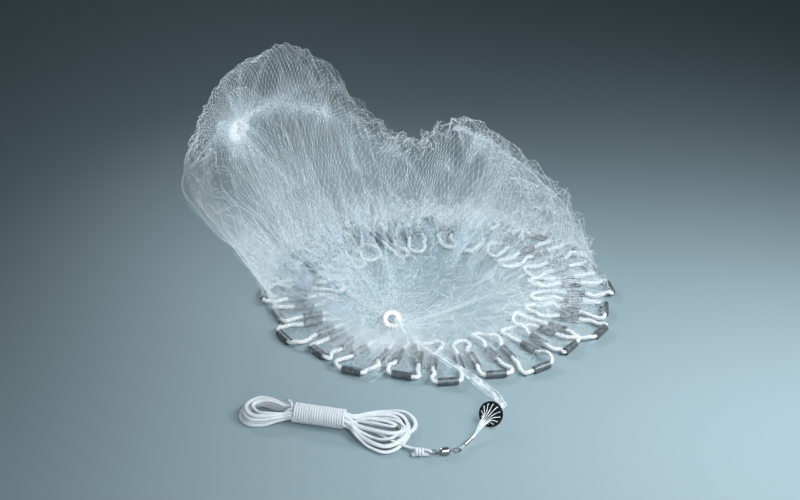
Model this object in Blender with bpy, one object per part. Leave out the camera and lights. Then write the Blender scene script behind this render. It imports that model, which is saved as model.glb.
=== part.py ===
"""Cast net lying in a loose heap on the floor.

A round panel of knitted monofilament is drawn up in a dome with a pinched gather, and runs low over
the rest of its lead line, a braided rope that lies in loops around the heap and carries lead sinkers.
The braille lines come out of the horn, cross the net to the separator disc and end in a crimp on the
swivel, whose other eye holds the hand line, folded in a hank.

Metres, +Z up. The origin is on the floor under the middle of the whole thing.
"""
import math

import bmesh
import bpy
from mathutils import Quaternion, Vector

GAP = 0.0004                       # between pieces that touch
UP = Vector((0.0, 0.0, 1.0))

# Lead line and sinkers.
ROPE_RADIUS = 0.0027
ROPE_LOW = 0.0031                  # height of the rope's middle where it lies on the floor
RING_MIDDLE = Vector((0.050, 0.068, 0.0))
RING_REACH = (0.231, 0.209)        # half width and half depth of the ring that the loops reach out to
SINKER_LENGTH = 0.025
SINKER_FLAT = 0.0049               # from a sinker's axis to the flats of its outside
SINKER_BORE = 0.0032               # from its axis to the flats of its bore
SINKER_SIDES = 8
ROPE_STRAIGHT = SINKER_LENGTH / 2 + 0.0015
ROPE_PULL = 1.25                   # how far the rope runs on before it turns
ROPE_STEP = 0.0085

# One row for each loop of the lead line, counted from the right and turning left. turn is the angle of
# its tip, span the width of the tip and slant how far the tip is turned, all in degrees. reach and root
# say how far out the tip and the turn after it lie, as shares of the ring.
LOOPS = (
    # turn, span, reach, root, slant, sinkers on the two sides
    (2, 8.5, 0.99, 0.53, 6, 2),
    (17, 8.0, 0.95, 0.57, -9, 2),
    (32.5, 8.5, 1.00, 0.52, 4, 1),
    (47, 7.5, 0.94, 0.56, 10, 1),
    (62, 8.5, 0.99, 0.54, -6, 0),
    (77.5, 8.0, 0.96, 0.58, 7, 1),
    (92, 8.5, 1.00, 0.53, -3, 0),
    (106.5, 8.0, 0.94, 0.51, 9, 0),
    (122, 8.5, 1.00, 0.55, -7, 0),
    (137.5, 8.0, 0.96, 0.53, 3, 0),
    (152, 8.5, 1.00, 0.56, -8, 0),
    (166.5, 8.0, 0.95, 0.53, 8, 1),
    (182, 8.5, 0.99, 0.57, -4, 1),
    (197.5, 8.0, 0.94, 0.54, 9, 1),
    (212, 8.5, 1.00, 0.52, 0, 1),
    (226.5, 8.0, 0.95, 0.58, -10, 2),
    (242, 9.0, 1.00, 0.54, 6, 1),
    (257.5, 8.0, 0.95, 0.56, -5, 1),
    (272, 9.0, 0.99, 0.58, 5, 1),
    (287.5, 8.0, 0.96, 0.53, -9, 1),
    (302, 9.0, 1.00, 0.56, 3, 1),
    (317.5, 8.0, 0.95, 0.52, 8, 1),
    (332, 9.0, 1.00, 0.55, -6, 1),
    (347, 8.0, 0.96, 0.55, 7, 1),
)

# Net panel: one sheet from the horn's neck to its hem, which lies on the loops of the lead line.
NET_THICK = 0.0015
NET_AROUND = 88
NET_ALONG = 19
HEM_SHARE = 0.93                   # hem's reach as a share of the ring
HEM_HEIGHT = 0.0140
HORN_MIDDLE = Vector((-0.010, -0.042, 0.031))
HORN_AXIS = Vector((0.0, -0.80, 0.60))
NECK_RADIUS = 0.0085               # of the net's outer face on the horn's neck
NECK_HALF = 0.0022                 # half of the width that the lashing holds
NECK_SHARE = 0.05                  # share of the way to the hem that lies on the neck
FLARE_SHARE = 0.20                 # share over which the net leaves the neck
FLARE_BACK = 0.013
FLARE_OUT = 0.010
HEM_STEEPNESS = 7
HEM_CROWDING = 1.2                 # rows lie closer together towards the hem
PLEATS = 16
PLEAT_DEPTH = 0.0055

# Where the sheet is lifted or pushed out: middle and reach on the floor, turn of the longer reach in
# degrees, and the shift that the middle gets.
SWELLS = (
    # name, x, y, reach_x, reach_y, turn, dx, dy, dz
    ("dome", -0.085, 0.125, 0.115, 0.090, 0, -0.095, 0.060, 0.245),
    ("puff over the gather", -0.095, 0.160, 0.060, 0.050, 0, 0.020, 0.010, 0.062),
    ("slope to the horn", -0.090, 0.040, 0.060, 0.060, 0, -0.080, 0.030, 0.070),
    ("right of the dome", -0.025, 0.170, 0.052, 0.060, 0, 0.000, 0.010, 0.066),
    ("second hump", 0.097, 0.140, 0.066, 0.070, 0, 0.000, 0.020, 0.174),
    ("right shoulder", 0.200, 0.130, 0.068, 0.080, 0, 0.032, 0.010, 0.112),
    ("low middle", 0.090, 0.000, 0.100, 0.060, 0, 0.000, 0.000, 0.012),
    ("left belly", -0.130, 0.050, 0.050, 0.065, 0, -0.060, 0.000, 0.035),
    ("ear", -0.150, 0.100, 0.022, 0.035, 0, -0.145, -0.010, -0.020),
)

# Where the sheet is drawn together: place, reach, and the share by which it closes up.
GATHERS = (
    ("pinch", Vector((-0.213, 0.142, 0.190)), 0.048, 0.70),
)

# Horn: plastic ring, its neck inside the net and a lashing round both.
HORN_BORE = 0.0055
HORN_NECK = 0.0066
HORN_FACE = 0.0118
HORN_BACK = -0.0040
HORN_FRONT = 0.0068
HORN_SIDES = 20

# Separator disc, held on edge by the lines that run through it.
DISC_MIDDLE = Vector((0.1047, -0.2159, 0.0136))
DISC_FACING = Vector((-0.45, -0.75, 0.48)).normalized()
DISC_RADIUS = 0.0150
DISC_THICK = 0.0020
DISC_HOLES = 12
DISC_HOLE_RADIUS = 0.0010
DISC_HOLE_CIRCLE = 0.0116

# Crimp sleeve, from the disc's side to the swivel's side.
CRIMP_START = Vector((0.0810, -0.2510, 0.0056))
CRIMP_END = Vector((0.0727, -0.2617, 0.0044))
CRIMP_RADIUS = 0.0020
CRIMP_BORE = 0.0012

# Swivel: a barrel that turns freely on the stems of two wire eyes.
SWIVEL_MIDDLE = Vector((0.0503, -0.2735, 0.0048))
SWIVEL_ALONG = Vector((0.990, 0.141, 0.0)).normalized()
BARREL_RADIUS = 0.0044
BARREL_HALF = 0.0058
BARREL_BORE = 0.00100
WIRE_RADIUS = 0.00065
STEM_INSIDE = 0.0015               # from the barrel's middle to a stem's inner end
EYE_MIDDLE = 0.0135                # from the barrel's middle to the middle of an eye
EYE_REACH = (0.0050, 0.0036)

# Bundle of braille lines from the horn to the disc.
BUNDLE_RADIUS = 0.0014
BUNDLE_ROUTE = (
    Vector((-0.0095, -0.0405, 0.0300)),
    Vector((-0.0070, -0.0500, 0.0365)),
    Vector((0.0010, -0.0610, 0.0350)),
    Vector((0.0160, -0.0770, 0.0270)),
    Vector((0.0367, -0.0990, 0.0225)),
    Vector((0.0605, -0.1235, 0.0215)),
    Vector((0.0834, -0.1484, 0.0190)),
    Vector((0.1010, -0.1660, 0.0150)),
    Vector((0.1140, -0.1810, 0.0105)),
    Vector((0.1180, -0.1940, 0.0080)),
)

# Hand line: a folded hank, thin where its own turns are wrapped round it.
HAND_LINE_RADIUS = 0.0017
HANK_SIDES = 18
HANK_END = 0.0186
HANK = (
    # x, y, half width, height
    (-0.1890, -0.1950, 0.0070, 0.0090),
    (-0.1840, -0.1955, 0.0150, 0.0150),
    (-0.1730, -0.1970, 0.0215, 0.0195),
    (-0.1580, -0.1990, 0.0240, 0.0215),
    (-0.1420, -0.2030, 0.0200, 0.0215),
    (-0.1280, -0.2085, 0.0140, 0.0215),
    (-0.1245, -0.2095, 0.0128, 0.0215),
    (-0.1235, -0.2098, 0.0140, 0.0240),
    (-0.0950, -0.2150, 0.0132, 0.0240),
    (-0.0625, -0.2240, 0.0140, 0.0240),
    (-0.0615, -0.2243, 0.0128, 0.0215),
    (-0.0520, -0.2270, 0.0165, 0.0220),
    (-0.0370, -0.2320, 0.0270, 0.0235),
    (-0.0200, -0.2370, 0.0370, 0.0245),
    (-0.0050, -0.2410, 0.0400, 0.0240),
    (0.0080, -0.2470, 0.0330, 0.0215),
    (0.0150, -0.2540, 0.0220, 0.0165),
    (HANK_END, -0.2620, 0.0110, 0.0115),
)


def smooth_step(x):
    x = min(max(x, 0.0), 1.0)
    return x * x * (3 - 2 * x)


def ring_point(share, degrees, height=0.0):
    """Place on the floor at a share of the ring's reach."""
    turn = math.radians(degrees)
    out = Vector((RING_REACH[0] * math.cos(turn), RING_REACH[1] * math.sin(turn), 0.0))
    return RING_MIDDLE + out * share + UP * height


def add_object(name, mesh_or_curve, material):
    """One node: an object of this name with its material."""
    piece = bpy.data.objects.new(name, mesh_or_curve)
    bpy.context.collection.objects.link(piece)
    mesh_or_curve.materials.append(material)
    return piece


def mesh_from(name, points, faces, smooth=True):
    mesh = bpy.data.meshes.new(name)
    mesh.from_pydata([tuple(p) for p in points], [], faces)
    shape = bmesh.new()
    shape.from_mesh(mesh)
    bmesh.ops.recalc_face_normals(shape, faces=shape.faces)
    shape.to_mesh(mesh)
    shape.free()
    if smooth:
        mesh.shade_smooth()
    return mesh


def make_material(name, colour, roughness, metallic=0.0):
    material = bpy.data.materials.new(name)
    material.use_nodes = True
    shader = material.node_tree.nodes["Principled BSDF"]
    shader.inputs["Base Color"].default_value = (*colour, 1.0)
    shader.inputs["Roughness"].default_value = roughness
    shader.inputs["Metallic"].default_value = metallic
    return material


def tube(name, points, radius, material, rounds=2, closed=False, swell=None):
    """Rope or wire along points; swell gives each point's share of the radius."""
    curve = bpy.data.curves.new(name, "CURVE")
    curve.dimensions = "3D"
    curve.twist_mode = "MINIMUM"
    curve.bevel_depth = radius
    curve.bevel_resolution = rounds
    curve.use_fill_caps = not closed
    line = curve.splines.new("POLY")
    line.points.add(len(points) - 1)
    for index, point in enumerate(points):
        line.points[index].co = (*point, 1.0)
        line.points[index].radius = swell[index] if swell else 1.0
    line.use_cyclic_u = closed
    line.use_smooth = True
    return add_object(name, curve, material)


def smooth_route(stations, step, closed=False):
    """Points on a smooth curve through the stations, about one step apart."""
    count = len(stations)
    spans = count if closed else count - 1
    route = []
    for index in range(spans):
        if closed:
            before, start = stations[index - 1], stations[index]
            end, after = stations[(index + 1) % count], stations[(index + 2) % count]
        else:
            before, start = stations[max(index - 1, 0)], stations[index]
            end, after = stations[index + 1], stations[min(index + 2, count - 1)]
        pieces = max(1, round((end - start).length / step))
        for piece in range(pieces):
            t = piece / pieces
            leave = (end - before) / 2
            arrive = (after - start) / 2
            route.append(start * (2 * t**3 - 3 * t**2 + 1) + leave * (t**3 - 2 * t**2 + t)
                         + end * (3 * t**2 - 2 * t**3) + arrive * (t**3 - t**2))
    if not closed:
        route.append(stations[-1])
    return route


# Lead line ------------------------------------------------------------------------------------------

def lead_line_places():
    """Sinkers in their order along the rope: middle, direction, and whether it has its own node.

    Each third one is followed by the rope's turn at a loop's root, given as a place and direction.
    """
    sinkers = []
    roots = []
    for index, (turn, span, reach, root, slant, own_sides) in enumerate(LOOPS):
        root_before = LOOPS[index - 1][3]
        tip = ring_point(reach, turn, SINKER_FLAT)
        along = (ring_point(reach, turn + 1) - ring_point(reach, turn - 1)).normalized()
        along.rotate(Quaternion(UP, math.radians(slant)))
        sides = []
        for side, inner in ((-1, root_before), (1, root)):
            foot = ring_point(inner + 0.14, turn + side * span * 0.50 + slant / 9)
            head = ring_point(reach - 0.10, turn + side * span * 0.56)
            middle = (foot + head) / 2
            direction = (head - foot).normalized() * -side
            sides.append((middle + UP * SINKER_FLAT, direction, own_sides > (side + 1) // 2))
        sinkers += [sides[0], (tip, along, True), sides[1]]

        following, next_span = LOOPS[(index + 1) % len(LOOPS)][:2]
        middle_turn = (turn + span / 2 + following + 360 * (following < turn) - next_span / 2) / 2
        heading = (ring_point(root, middle_turn + 1) - ring_point(root, middle_turn - 1)).normalized()
        roots.append((ring_point(root, middle_turn, ROPE_LOW), heading))
    return sinkers, roots


def curved_run(start, leave, end, arrive, step):
    """Points on the smooth curve between two places, without its ends."""
    stretch = (end - start).length
    pull = ROPE_PULL * stretch
    pieces = max(3, round(stretch / step))
    points = []
    for piece in range(1, pieces):
        t = piece / pieces
        points.append(start * (2 * t**3 - 3 * t**2 + 1) + leave * pull * (t**3 - 2 * t**2 + t)
                      + end * (3 * t**2 - 2 * t**3) + arrive * pull * (t**3 - t**2))
    return points


def lead_line_route(sinkers, roots):
    """Rope's middle line: straight inside each sinker, curved and lower between them."""
    route = []
    for index, (middle, direction, _) in enumerate(sinkers):
        following, heading, _ = sinkers[(index + 1) % len(sinkers)]
        start = middle + direction * ROPE_STRAIGHT
        end = following - heading * ROPE_STRAIGHT
        route += [middle - direction * ROPE_STRAIGHT, start]
        if index % 3 == 2:
            root, root_heading = roots[index // 3]
            route += curved_run(start, direction, root, root_heading, ROPE_STEP)
            route.append(root)
            route += curved_run(root, root_heading, end, heading, ROPE_STEP)
        else:
            route += curved_run(start, direction, end, heading, ROPE_STEP)
    return route


def make_sinker(name, middle, direction, material):
    """Lead sleeve around the rope, with a flat underneath."""
    side = UP.cross(direction).normalized()
    points = []
    faces = []
    half_turn = math.pi / SINKER_SIDES
    for end, flat in ((-1, SINKER_FLAT), (1, SINKER_FLAT), (1, SINKER_BORE), (-1, SINKER_BORE)):
        corner = flat / math.cos(half_turn)
        for index in range(SINKER_SIDES):
            turn = half_turn * (2 * index + 1)
            points.append(middle + direction * (end * SINKER_LENGTH / 2)
                          + side * (corner * math.cos(turn)) + UP * (corner * math.sin(turn)))
    for ring in range(4):
        for index in range(SINKER_SIDES):
            following = (index + 1) % SINKER_SIDES
            here, there = ring * SINKER_SIDES, ((ring + 1) % 4) * SINKER_SIDES
            faces.append((here + index, here + following, there + following, there + index))
    return add_object(name, mesh_from(name, points, faces, smooth=False), material)


def make_lead_line(rope_material, lead_material):
    sinkers, roots = lead_line_places()
    tube("lead_line", lead_line_route(sinkers, roots), ROPE_RADIUS, rope_material, rounds=1, closed=True)
    number = 0
    for middle, direction, own_node in sinkers:
        if own_node:
            number += 1
            make_sinker(f"sinker_{number:02d}", middle, direction, lead_material)


# Net ------------------------------------------------------------------------------------------------

def swell_shift(x, y):
    shift = Vector((0.0, 0.0, 0.0))
    for _, middle_x, middle_y, reach_x, reach_y, turn, dx, dy, dz in SWELLS:
        cosine, sine = math.cos(math.radians(turn)), math.sin(math.radians(turn))
        along = ((x - middle_x) * cosine + (y - middle_y) * sine) / reach_x
        across = ((y - middle_y) * cosine - (x - middle_x) * sine) / reach_y
        shift += Vector((dx, dy, dz)) * math.exp(-along * along - across * across)
    return shift


def smooth_net_point(share, turn):
    """Net without its pleats, at a share of the way from the horn to the hem."""
    hem = ring_point(HEM_SHARE, math.degrees(turn), HEM_HEIGHT)
    flat = Vector((HORN_MIDDLE.x, HORN_MIDDLE.y, HEM_HEIGHT)).lerp(hem, share)
    point = flat + swell_shift(flat.x, flat.y) * (1 - share**HEM_STEEPNESS)
    for _, place, reach, closing in GATHERS:
        apart = point - place
        point = place + apart * (1 - closing * math.exp(-apart.length_squared / reach**2))
    across = Vector((1.0, 0.0, 0.0))
    outward = across * math.cos(turn) + HORN_AXIS.cross(across) * math.sin(turn)
    on_neck = min(share / NECK_SHARE, 1.0)
    flare = max(share - NECK_SHARE, 0.0) / FLARE_SHARE
    back = NECK_HALF * (1 - 2 * on_neck) - FLARE_BACK * flare
    neck = HORN_MIDDLE + HORN_AXIS * back + outward * (NECK_RADIUS + FLARE_OUT * flare)
    return neck.lerp(point, smooth_step(flare))


def net_point(share, turn):
    """Net's outer face, with its main pleats running out from the horn."""
    small = 0.004
    point = smooth_net_point(share, turn)
    outward = smooth_net_point(min(share + small, 1.0), turn) - smooth_net_point(max(share - small, 0.0), turn)
    around = smooth_net_point(share, turn + small) - smooth_net_point(share, turn - small)
    normal = outward.cross(around).normalized()
    wave = 0.5 + 0.5 * math.cos(PLEATS * turn + 1.3 * math.sin(3 * turn) + 0.8 * math.sin(5 * turn + 1))
    depth = PLEAT_DEPTH * smooth_step((share - 0.10) / 0.30) * (1 - 0.5 * smooth_step((share - 0.8) / 0.2))
    return point + normal * (wave * depth)


def make_net(material):
    rest = NET_ALONG - 1
    shares = [0.0] + [1 - (1 - NECK_SHARE) * (1 - index / rest) ** HEM_CROWDING for index in range(rest + 1)]
    outer = []
    for share in shares:
        for index in range(NET_AROUND):
            outer.append(net_point(share, 2 * math.pi * index / NET_AROUND))
    faces = []
    for row in range(NET_ALONG):
        for index in range(NET_AROUND):
            following = (index + 1) % NET_AROUND
            a, b = row * NET_AROUND + index, (row + 1) * NET_AROUND + index
            c, d = (row + 1) * NET_AROUND + following, row * NET_AROUND + following
            if (outer[a] - outer[c]).length < (outer[b] - outer[d]).length:
                faces += [(a, b, c), (a, c, d)]
            else:
                faces += [(a, b, d), (b, c, d)]
    sheet = bpy.data.meshes.new("sheet")
    sheet.from_pydata([tuple(p) for p in outer], [], faces)
    normals = [Vector(vertex.normal) for vertex in sheet.vertices]
    bpy.data.meshes.remove(sheet)
    count = len(outer)
    inner = [point - normal * NET_THICK for point, normal in zip(outer, normals)]
    faces += [tuple(count + corner for corner in reversed(face)) for face in faces]
    for row in (0, NET_ALONG):
        start = row * NET_AROUND
        for index in range(NET_AROUND):
            following = (index + 1) % NET_AROUND
            faces.append((start + index, start + following, count + start + following, count + start + index))
    return add_object("net_panel", mesh_from("net_panel", outer + inner, faces), material)


# Horn, disc, crimp and swivel --------------------------------------------------------------------------

def turned(name, profile, middle, axis, sides, material, smooth=True):
    """Ring turned about an axis from a closed profile of (radius, height along the axis)."""
    across = axis.orthogonal().normalized()
    along = axis.cross(across)
    points = []
    faces = []
    count = len(profile)
    for index in range(sides):
        turn = 2 * math.pi * index / sides
        outward = across * math.cos(turn) + along * math.sin(turn)
        points += [middle + outward * radius + axis * height for radius, height in profile]
        here, there = index * count, (index + 1) % sides * count
        for corner in range(count):
            following = (corner + 1) % count
            faces.append((here + corner, here + following, there + following, there + corner))
    return add_object(name, mesh_from(name, points, faces, smooth), material)


def make_horn(plastic, twine):
    soft = 0.0008
    turned("horn", (
        (HORN_BORE, HORN_BACK), (HORN_NECK, HORN_BACK), (HORN_NECK, NECK_HALF + GAP),
        (HORN_FACE - soft, NECK_HALF + GAP), (HORN_FACE, NECK_HALF + GAP + soft),
        (HORN_FACE, HORN_FRONT - 2 * soft), (HORN_FACE - 2 * soft, HORN_FRONT),
        (HORN_BORE + soft, HORN_FRONT), (HORN_BORE, HORN_FRONT - soft),
    ), HORN_MIDDLE, HORN_AXIS, HORN_SIDES, plastic)
    inner, outer, half = NECK_RADIUS + GAP, NECK_RADIUS + 0.0021, NECK_HALF - 0.0006
    turned("horn_lashing", (
        (inner, -half), (outer - soft, -half), (outer, -half / 2), (outer, half / 2),
        (outer - soft, half), (inner, half),
    ), HORN_MIDDLE, HORN_AXIS, HORN_SIDES, twine)


def make_disc(material):
    half, soft = DISC_THICK / 2, 0.0004
    shape = bmesh.new()
    bmesh.ops.create_cone(shape, cap_ends=True, segments=32, radius1=DISC_RADIUS, radius2=DISC_RADIUS,
                          depth=DISC_THICK)
    rims = [edge for edge in shape.edges if abs(edge.verts[0].co.z - edge.verts[1].co.z) < half / 2]
    bmesh.ops.bevel(shape, geom=rims, offset=soft, segments=1, affect="EDGES")
    mesh = bpy.data.meshes.new("separator_disc")
    shape.to_mesh(mesh)
    shape.free()
    disc = add_object("separator_disc", mesh, material)

    holes = bmesh.new()
    for index in range(DISC_HOLES):
        turn = 2 * math.pi * index / DISC_HOLES
        hole = bmesh.ops.create_cone(holes, cap_ends=True, segments=8, radius1=DISC_HOLE_RADIUS,
                                     radius2=DISC_HOLE_RADIUS, depth=3 * DISC_THICK)
        place = Vector((math.cos(turn), math.sin(turn), 0.0)) * DISC_HOLE_CIRCLE
        bmesh.ops.translate(holes, verts=hole["verts"], vec=place)
    cutter_mesh = bpy.data.meshes.new("disc_holes")
    holes.to_mesh(cutter_mesh)
    holes.free()
    cutter = bpy.data.objects.new("disc_holes", cutter_mesh)
    bpy.context.collection.objects.link(cutter)
    cutter.hide_render = True
    cutter.display_type = "WIRE"
    cutter.parent = disc
    cut = disc.modifiers.new("holes", "BOOLEAN")
    cut.operation = "DIFFERENCE"
    cut.object = cutter
    disc.location = DISC_MIDDLE
    disc.rotation_euler = DISC_FACING.to_track_quat("Z", "Y").to_euler()


def make_crimp(material):
    along = (CRIMP_END - CRIMP_START).normalized()
    half = (CRIMP_END - CRIMP_START).length / 2
    soft = 0.0004
    turned("crimp_sleeve", (
        (CRIMP_BORE, -half), (CRIMP_RADIUS - soft, -half), (CRIMP_RADIUS, -half + soft),
        (CRIMP_RADIUS, half - soft), (CRIMP_RADIUS - soft, half), (CRIMP_BORE, half),
    ), (CRIMP_START + CRIMP_END) / 2, along, 12, material)


def eye_point(side, along, across):
    """Place in a swivel eye's plane; side is -1 at the hand line and 1 at the braille lines."""
    beside = UP.cross(SWIVEL_ALONG)
    return SWIVEL_MIDDLE + SWIVEL_ALONG * (side * along) + beside * (side * across)


def make_swivel(material):
    soft = 0.0010
    turned("swivel_barrel", (
        (BARREL_BORE, -BARREL_HALF), (BARREL_RADIUS - 2 * soft, -BARREL_HALF),
        (BARREL_RADIUS - soft / 2, -BARREL_HALF + soft), (BARREL_RADIUS, -BARREL_HALF + 2 * soft),
        (BARREL_RADIUS, BARREL_HALF - 2 * soft), (BARREL_RADIUS - soft / 2, BARREL_HALF - soft),
        (BARREL_RADIUS - 2 * soft, BARREL_HALF), (BARREL_BORE, BARREL_HALF),
    ), SWIVEL_MIDDLE, SWIVEL_ALONG, 20, material)
    for name, side in (("swivel_eye_line", -1), ("swivel_eye_net", 1)):
        route = [eye_point(side, STEM_INSIDE, 0.0), eye_point(side, BARREL_HALF, 0.0),
                 eye_point(side, EYE_MIDDLE - EYE_REACH[0] - 0.0008, 0.0)]
        first, last, steps = 150, -155, 14
        for step in range(steps + 1):
            turn = math.radians(first + (last - first) * step / steps)
            route.append(eye_point(side, EYE_MIDDLE + EYE_REACH[0] * math.cos(turn),
                                   EYE_REACH[1] * math.sin(turn)))
        tube(name, route, WIRE_RADIUS, material, rounds=1)


# Free lines -------------------------------------------------------------------------------------------

def bight(wire, outward, radius):
    """Half turn of a line of this radius over, through and under a wire that lies level."""
    reach = radius + WIRE_RADIUS + GAP
    turns = [math.radians(90 + 30 * step) for step in range(7)]
    return [wire + outward * (reach * math.cos(turn)) + UP * (reach * math.sin(turn)) for turn in turns]


def make_braille_lines(material):
    disc_back = DISC_MIDDLE - DISC_FACING * (DISC_THICK / 2 + GAP)
    stations = list(BUNDLE_ROUTE) + [disc_back - DISC_FACING * 0.0060, disc_back]
    tube("braille_lines", smooth_route(stations, 0.0080), BUNDLE_RADIUS, material)

    disc_front = DISC_MIDDLE + DISC_FACING * (DISC_THICK / 2 + GAP)
    along = (CRIMP_END - CRIMP_START).normalized()
    hook = math.radians(35)
    wire = eye_point(1, EYE_MIDDLE + EYE_REACH[0] * math.cos(hook), EYE_REACH[1] * math.sin(hook))
    towards_crimp = (CRIMP_END - wire) * Vector((1, 1, 0))
    towards_crimp.normalize()
    line = 0.0008
    stations = [
        (disc_front, 6.0), (disc_front + DISC_FACING * 0.0030, 4.6),
        (disc_front + DISC_FACING * 0.0060 + along * 0.0030, 3.2),
        (disc_front.lerp(CRIMP_START, 0.45) + UP * 0.0030, 2.2),
        (CRIMP_START - along * 0.0080, 1.5), (CRIMP_START - along * 0.0020, 1.0), (CRIMP_START, 1.0),
        (CRIMP_END, 1.0), (CRIMP_END + along * 0.0015, 1.0),
    ]
    turn_points = bight(wire, towards_crimp, line)
    stations.append((turn_points[0] + towards_crimp * 0.0030, 1.0))
    stations += [(point, 1.0) for point in turn_points]
    stations.append((CRIMP_END + along * GAP - UP * (2 * line + GAP), 1.0))
    tube("braille_ends", [point for point, _ in stations], line, material,
         swell=[share for _, share in stations])


def make_hand_line(material):
    points = []
    faces = []
    for x, y, half_width, height in HANK:
        for index in range(HANK_SIDES):
            turn = 2 * math.pi * (index + 0.5) / HANK_SIDES
            level = height * (0.42 + 0.62 * math.sin(turn))
            points.append(Vector((x, y + half_width * math.cos(turn), min(max(level, 0.0), height))))
    rows = len(HANK)
    for row in range(rows - 1):
        for index in range(HANK_SIDES):
            following = (index + 1) % HANK_SIDES
            here, there = row * HANK_SIDES, (row + 1) * HANK_SIDES
            faces.append((here + index, there + index, there + following, here + following))
    faces.append(tuple(range(HANK_SIDES)))
    faces.append(tuple(reversed(range((rows - 1) * HANK_SIDES, rows * HANK_SIDES))))
    add_object("hand_line_hank", mesh_from("hand_line_hank", points, faces), material)

    wire = eye_point(-1, EYE_MIDDLE + EYE_REACH[0], 0.0)
    turn_points = bight(wire, -SWIVEL_ALONG, HAND_LINE_RADIUS)
    start = Vector((HANK_END + GAP, -0.2660, turn_points[0].z))
    end = Vector((HANK_END + GAP, -0.2660, turn_points[-1].z))
    lead = SWIVEL_ALONG * 0.0035
    first = Vector((0.0025, 0.0, 0.0))
    route = [start, start + first, turn_points[0] - lead, *turn_points, turn_points[-1] - lead,
             end + first, end]
    tube("hand_line_end", route, HAND_LINE_RADIUS, material)


# Model ----------------------------------------------------------------------------------------------

def clear_scene():
    for item in list(bpy.data.objects):
        bpy.data.objects.remove(item, do_unlink=True)


def build():
    clear_scene()
    rope_white = make_material("white_rope", (0.86, 0.87, 0.86), 0.75)
    lead_grey = make_material("lead", (0.16, 0.18, 0.19), 0.5, 0.6)
    mono_clear = make_material("clear_monofilament", (0.82, 0.87, 0.88), 0.3)
    horn_white = make_material("white_plastic", (0.86, 0.83, 0.80), 0.4)
    disc_black = make_material("black_plastic", (0.02, 0.03, 0.03), 0.35)
    nickel = make_material("nickel_plate", (0.62, 0.60, 0.58), 0.25, 1.0)
    make_lead_line(rope_white, lead_grey)
    make_net(mono_clear)
    make_horn(horn_white, rope_white)
    make_disc(disc_black)
    make_crimp(nickel)
    make_swivel(nickel)
    make_braille_lines(mono_clear)
    make_hand_line(rope_white)


build()
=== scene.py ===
"""Cast net of clear monofilament in a loose heap, with its lead line, horn, braille lines and hand line."""

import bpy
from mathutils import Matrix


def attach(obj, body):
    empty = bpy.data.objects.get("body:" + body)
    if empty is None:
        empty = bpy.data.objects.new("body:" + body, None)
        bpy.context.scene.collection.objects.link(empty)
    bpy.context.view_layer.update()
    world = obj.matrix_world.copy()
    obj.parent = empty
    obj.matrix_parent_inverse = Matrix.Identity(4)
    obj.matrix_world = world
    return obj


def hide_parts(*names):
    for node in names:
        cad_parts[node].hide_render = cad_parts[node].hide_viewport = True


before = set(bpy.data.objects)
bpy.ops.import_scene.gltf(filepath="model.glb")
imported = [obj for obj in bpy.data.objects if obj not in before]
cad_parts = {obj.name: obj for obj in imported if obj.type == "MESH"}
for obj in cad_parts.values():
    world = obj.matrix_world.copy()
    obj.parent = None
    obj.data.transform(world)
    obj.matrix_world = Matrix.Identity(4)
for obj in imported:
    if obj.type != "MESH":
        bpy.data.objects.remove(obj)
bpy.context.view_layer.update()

import math

import bmesh
import bpy
import numpy as np
from mathutils import Matrix, Quaternion, Vector

scene = bpy.context.scene


# Camera and studio ------------------------------------------------------------------------------
# The camera looks down on the heap from the front. A soft lamp hangs on the right and another in front,
# two narrow ones light the dome from the front and from behind, and the floor is a plain blue-grey.

camera_data = bpy.data.cameras.new("camera")
camera_data.lens = 64.35
camera_data.sensor_width = 36.0
camera_data.clip_start = 0.05
camera = bpy.data.objects.new("camera", camera_data)
camera.location = (0.0, -1.547, 1.0)
camera.rotation_euler = (math.radians(60), 0.0, 0.0)
scene.collection.objects.link(camera)
scene.camera = camera

for lamp_name, place, target, size, beam, power, colour in (
    # place and target in metres, size of its side, width of its beam in degrees, power in watts
    ("lamp over the net", (0.74, -0.28, 0.70), (0.38, -0.12, 0.0), 0.5, 116, 4.9, (0.94, 0.98, 1.0)),
    ("lamp behind", (-0.9, 1.2, 0.9), (-0.02, 0.10, 0.14), 0.3, 34, 0.6, (0.92, 0.97, 1.0)),
    ("lamp in front", (0.3, -1.3, 0.9), (0.02, -0.60, 0.0), 0.9, 56, 2.9, (0.93, 0.98, 1.0)),
    ("low lamp on the dome", (0.10, -1.45, 0.50), (-0.16, 0.12, 0.20), 0.3, 24, 0.24, (0.95, 0.98, 1.0)),
):
    lamp_data = bpy.data.lights.new(lamp_name, "AREA")
    lamp_data.size = size
    lamp_data.spread = math.radians(beam)
    lamp_data.energy = power
    lamp_data.color = colour
    lamp = bpy.data.objects.new(lamp_name, lamp_data)
    lamp.location = place
    lamp.rotation_euler = (Vector(target) - Vector(place)).to_track_quat("-Z", "Y").to_euler()
    scene.collection.objects.link(lamp)

world = bpy.data.worlds.new("studio")
world.use_nodes = True
background = world.node_tree.nodes["Background"]
background.inputs["Color"].default_value = (0.55, 0.66, 0.70, 1.0)
background.inputs["Strength"].default_value = 0.12
scene.world = world
scene.cycles.transparent_max_bounces = 96     # light passes through many layers of clear net
scene.view_settings.view_transform = "Standard"

bpy.ops.object.select_all(action="DESELECT")
FLOOR_ACROSS = 30.0
FLOOR_GAP = 0.0002                 # below the net, so that the two don't touch
bpy.ops.mesh.primitive_plane_add(size=FLOOR_ACROSS, location=(0.0, 0.0, -FLOOR_GAP))
floor = bpy.context.object
floor.name = "floor"


def new_finish(name, roughness=0.5):
    """Material with its node tree and its shader."""
    finish = bpy.data.materials.new(name)
    finish.use_nodes = True
    shader = finish.node_tree.nodes["Principled BSDF"]
    shader.inputs["Roughness"].default_value = roughness
    return finish, finish.node_tree, shader


floor_finish, tree, shader = new_finish("floor", roughness=0.6)
shader.inputs["Base Color"].default_value = (0.235, 0.315, 0.350, 1.0)
floor.data.materials.append(floor_finish)


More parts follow.
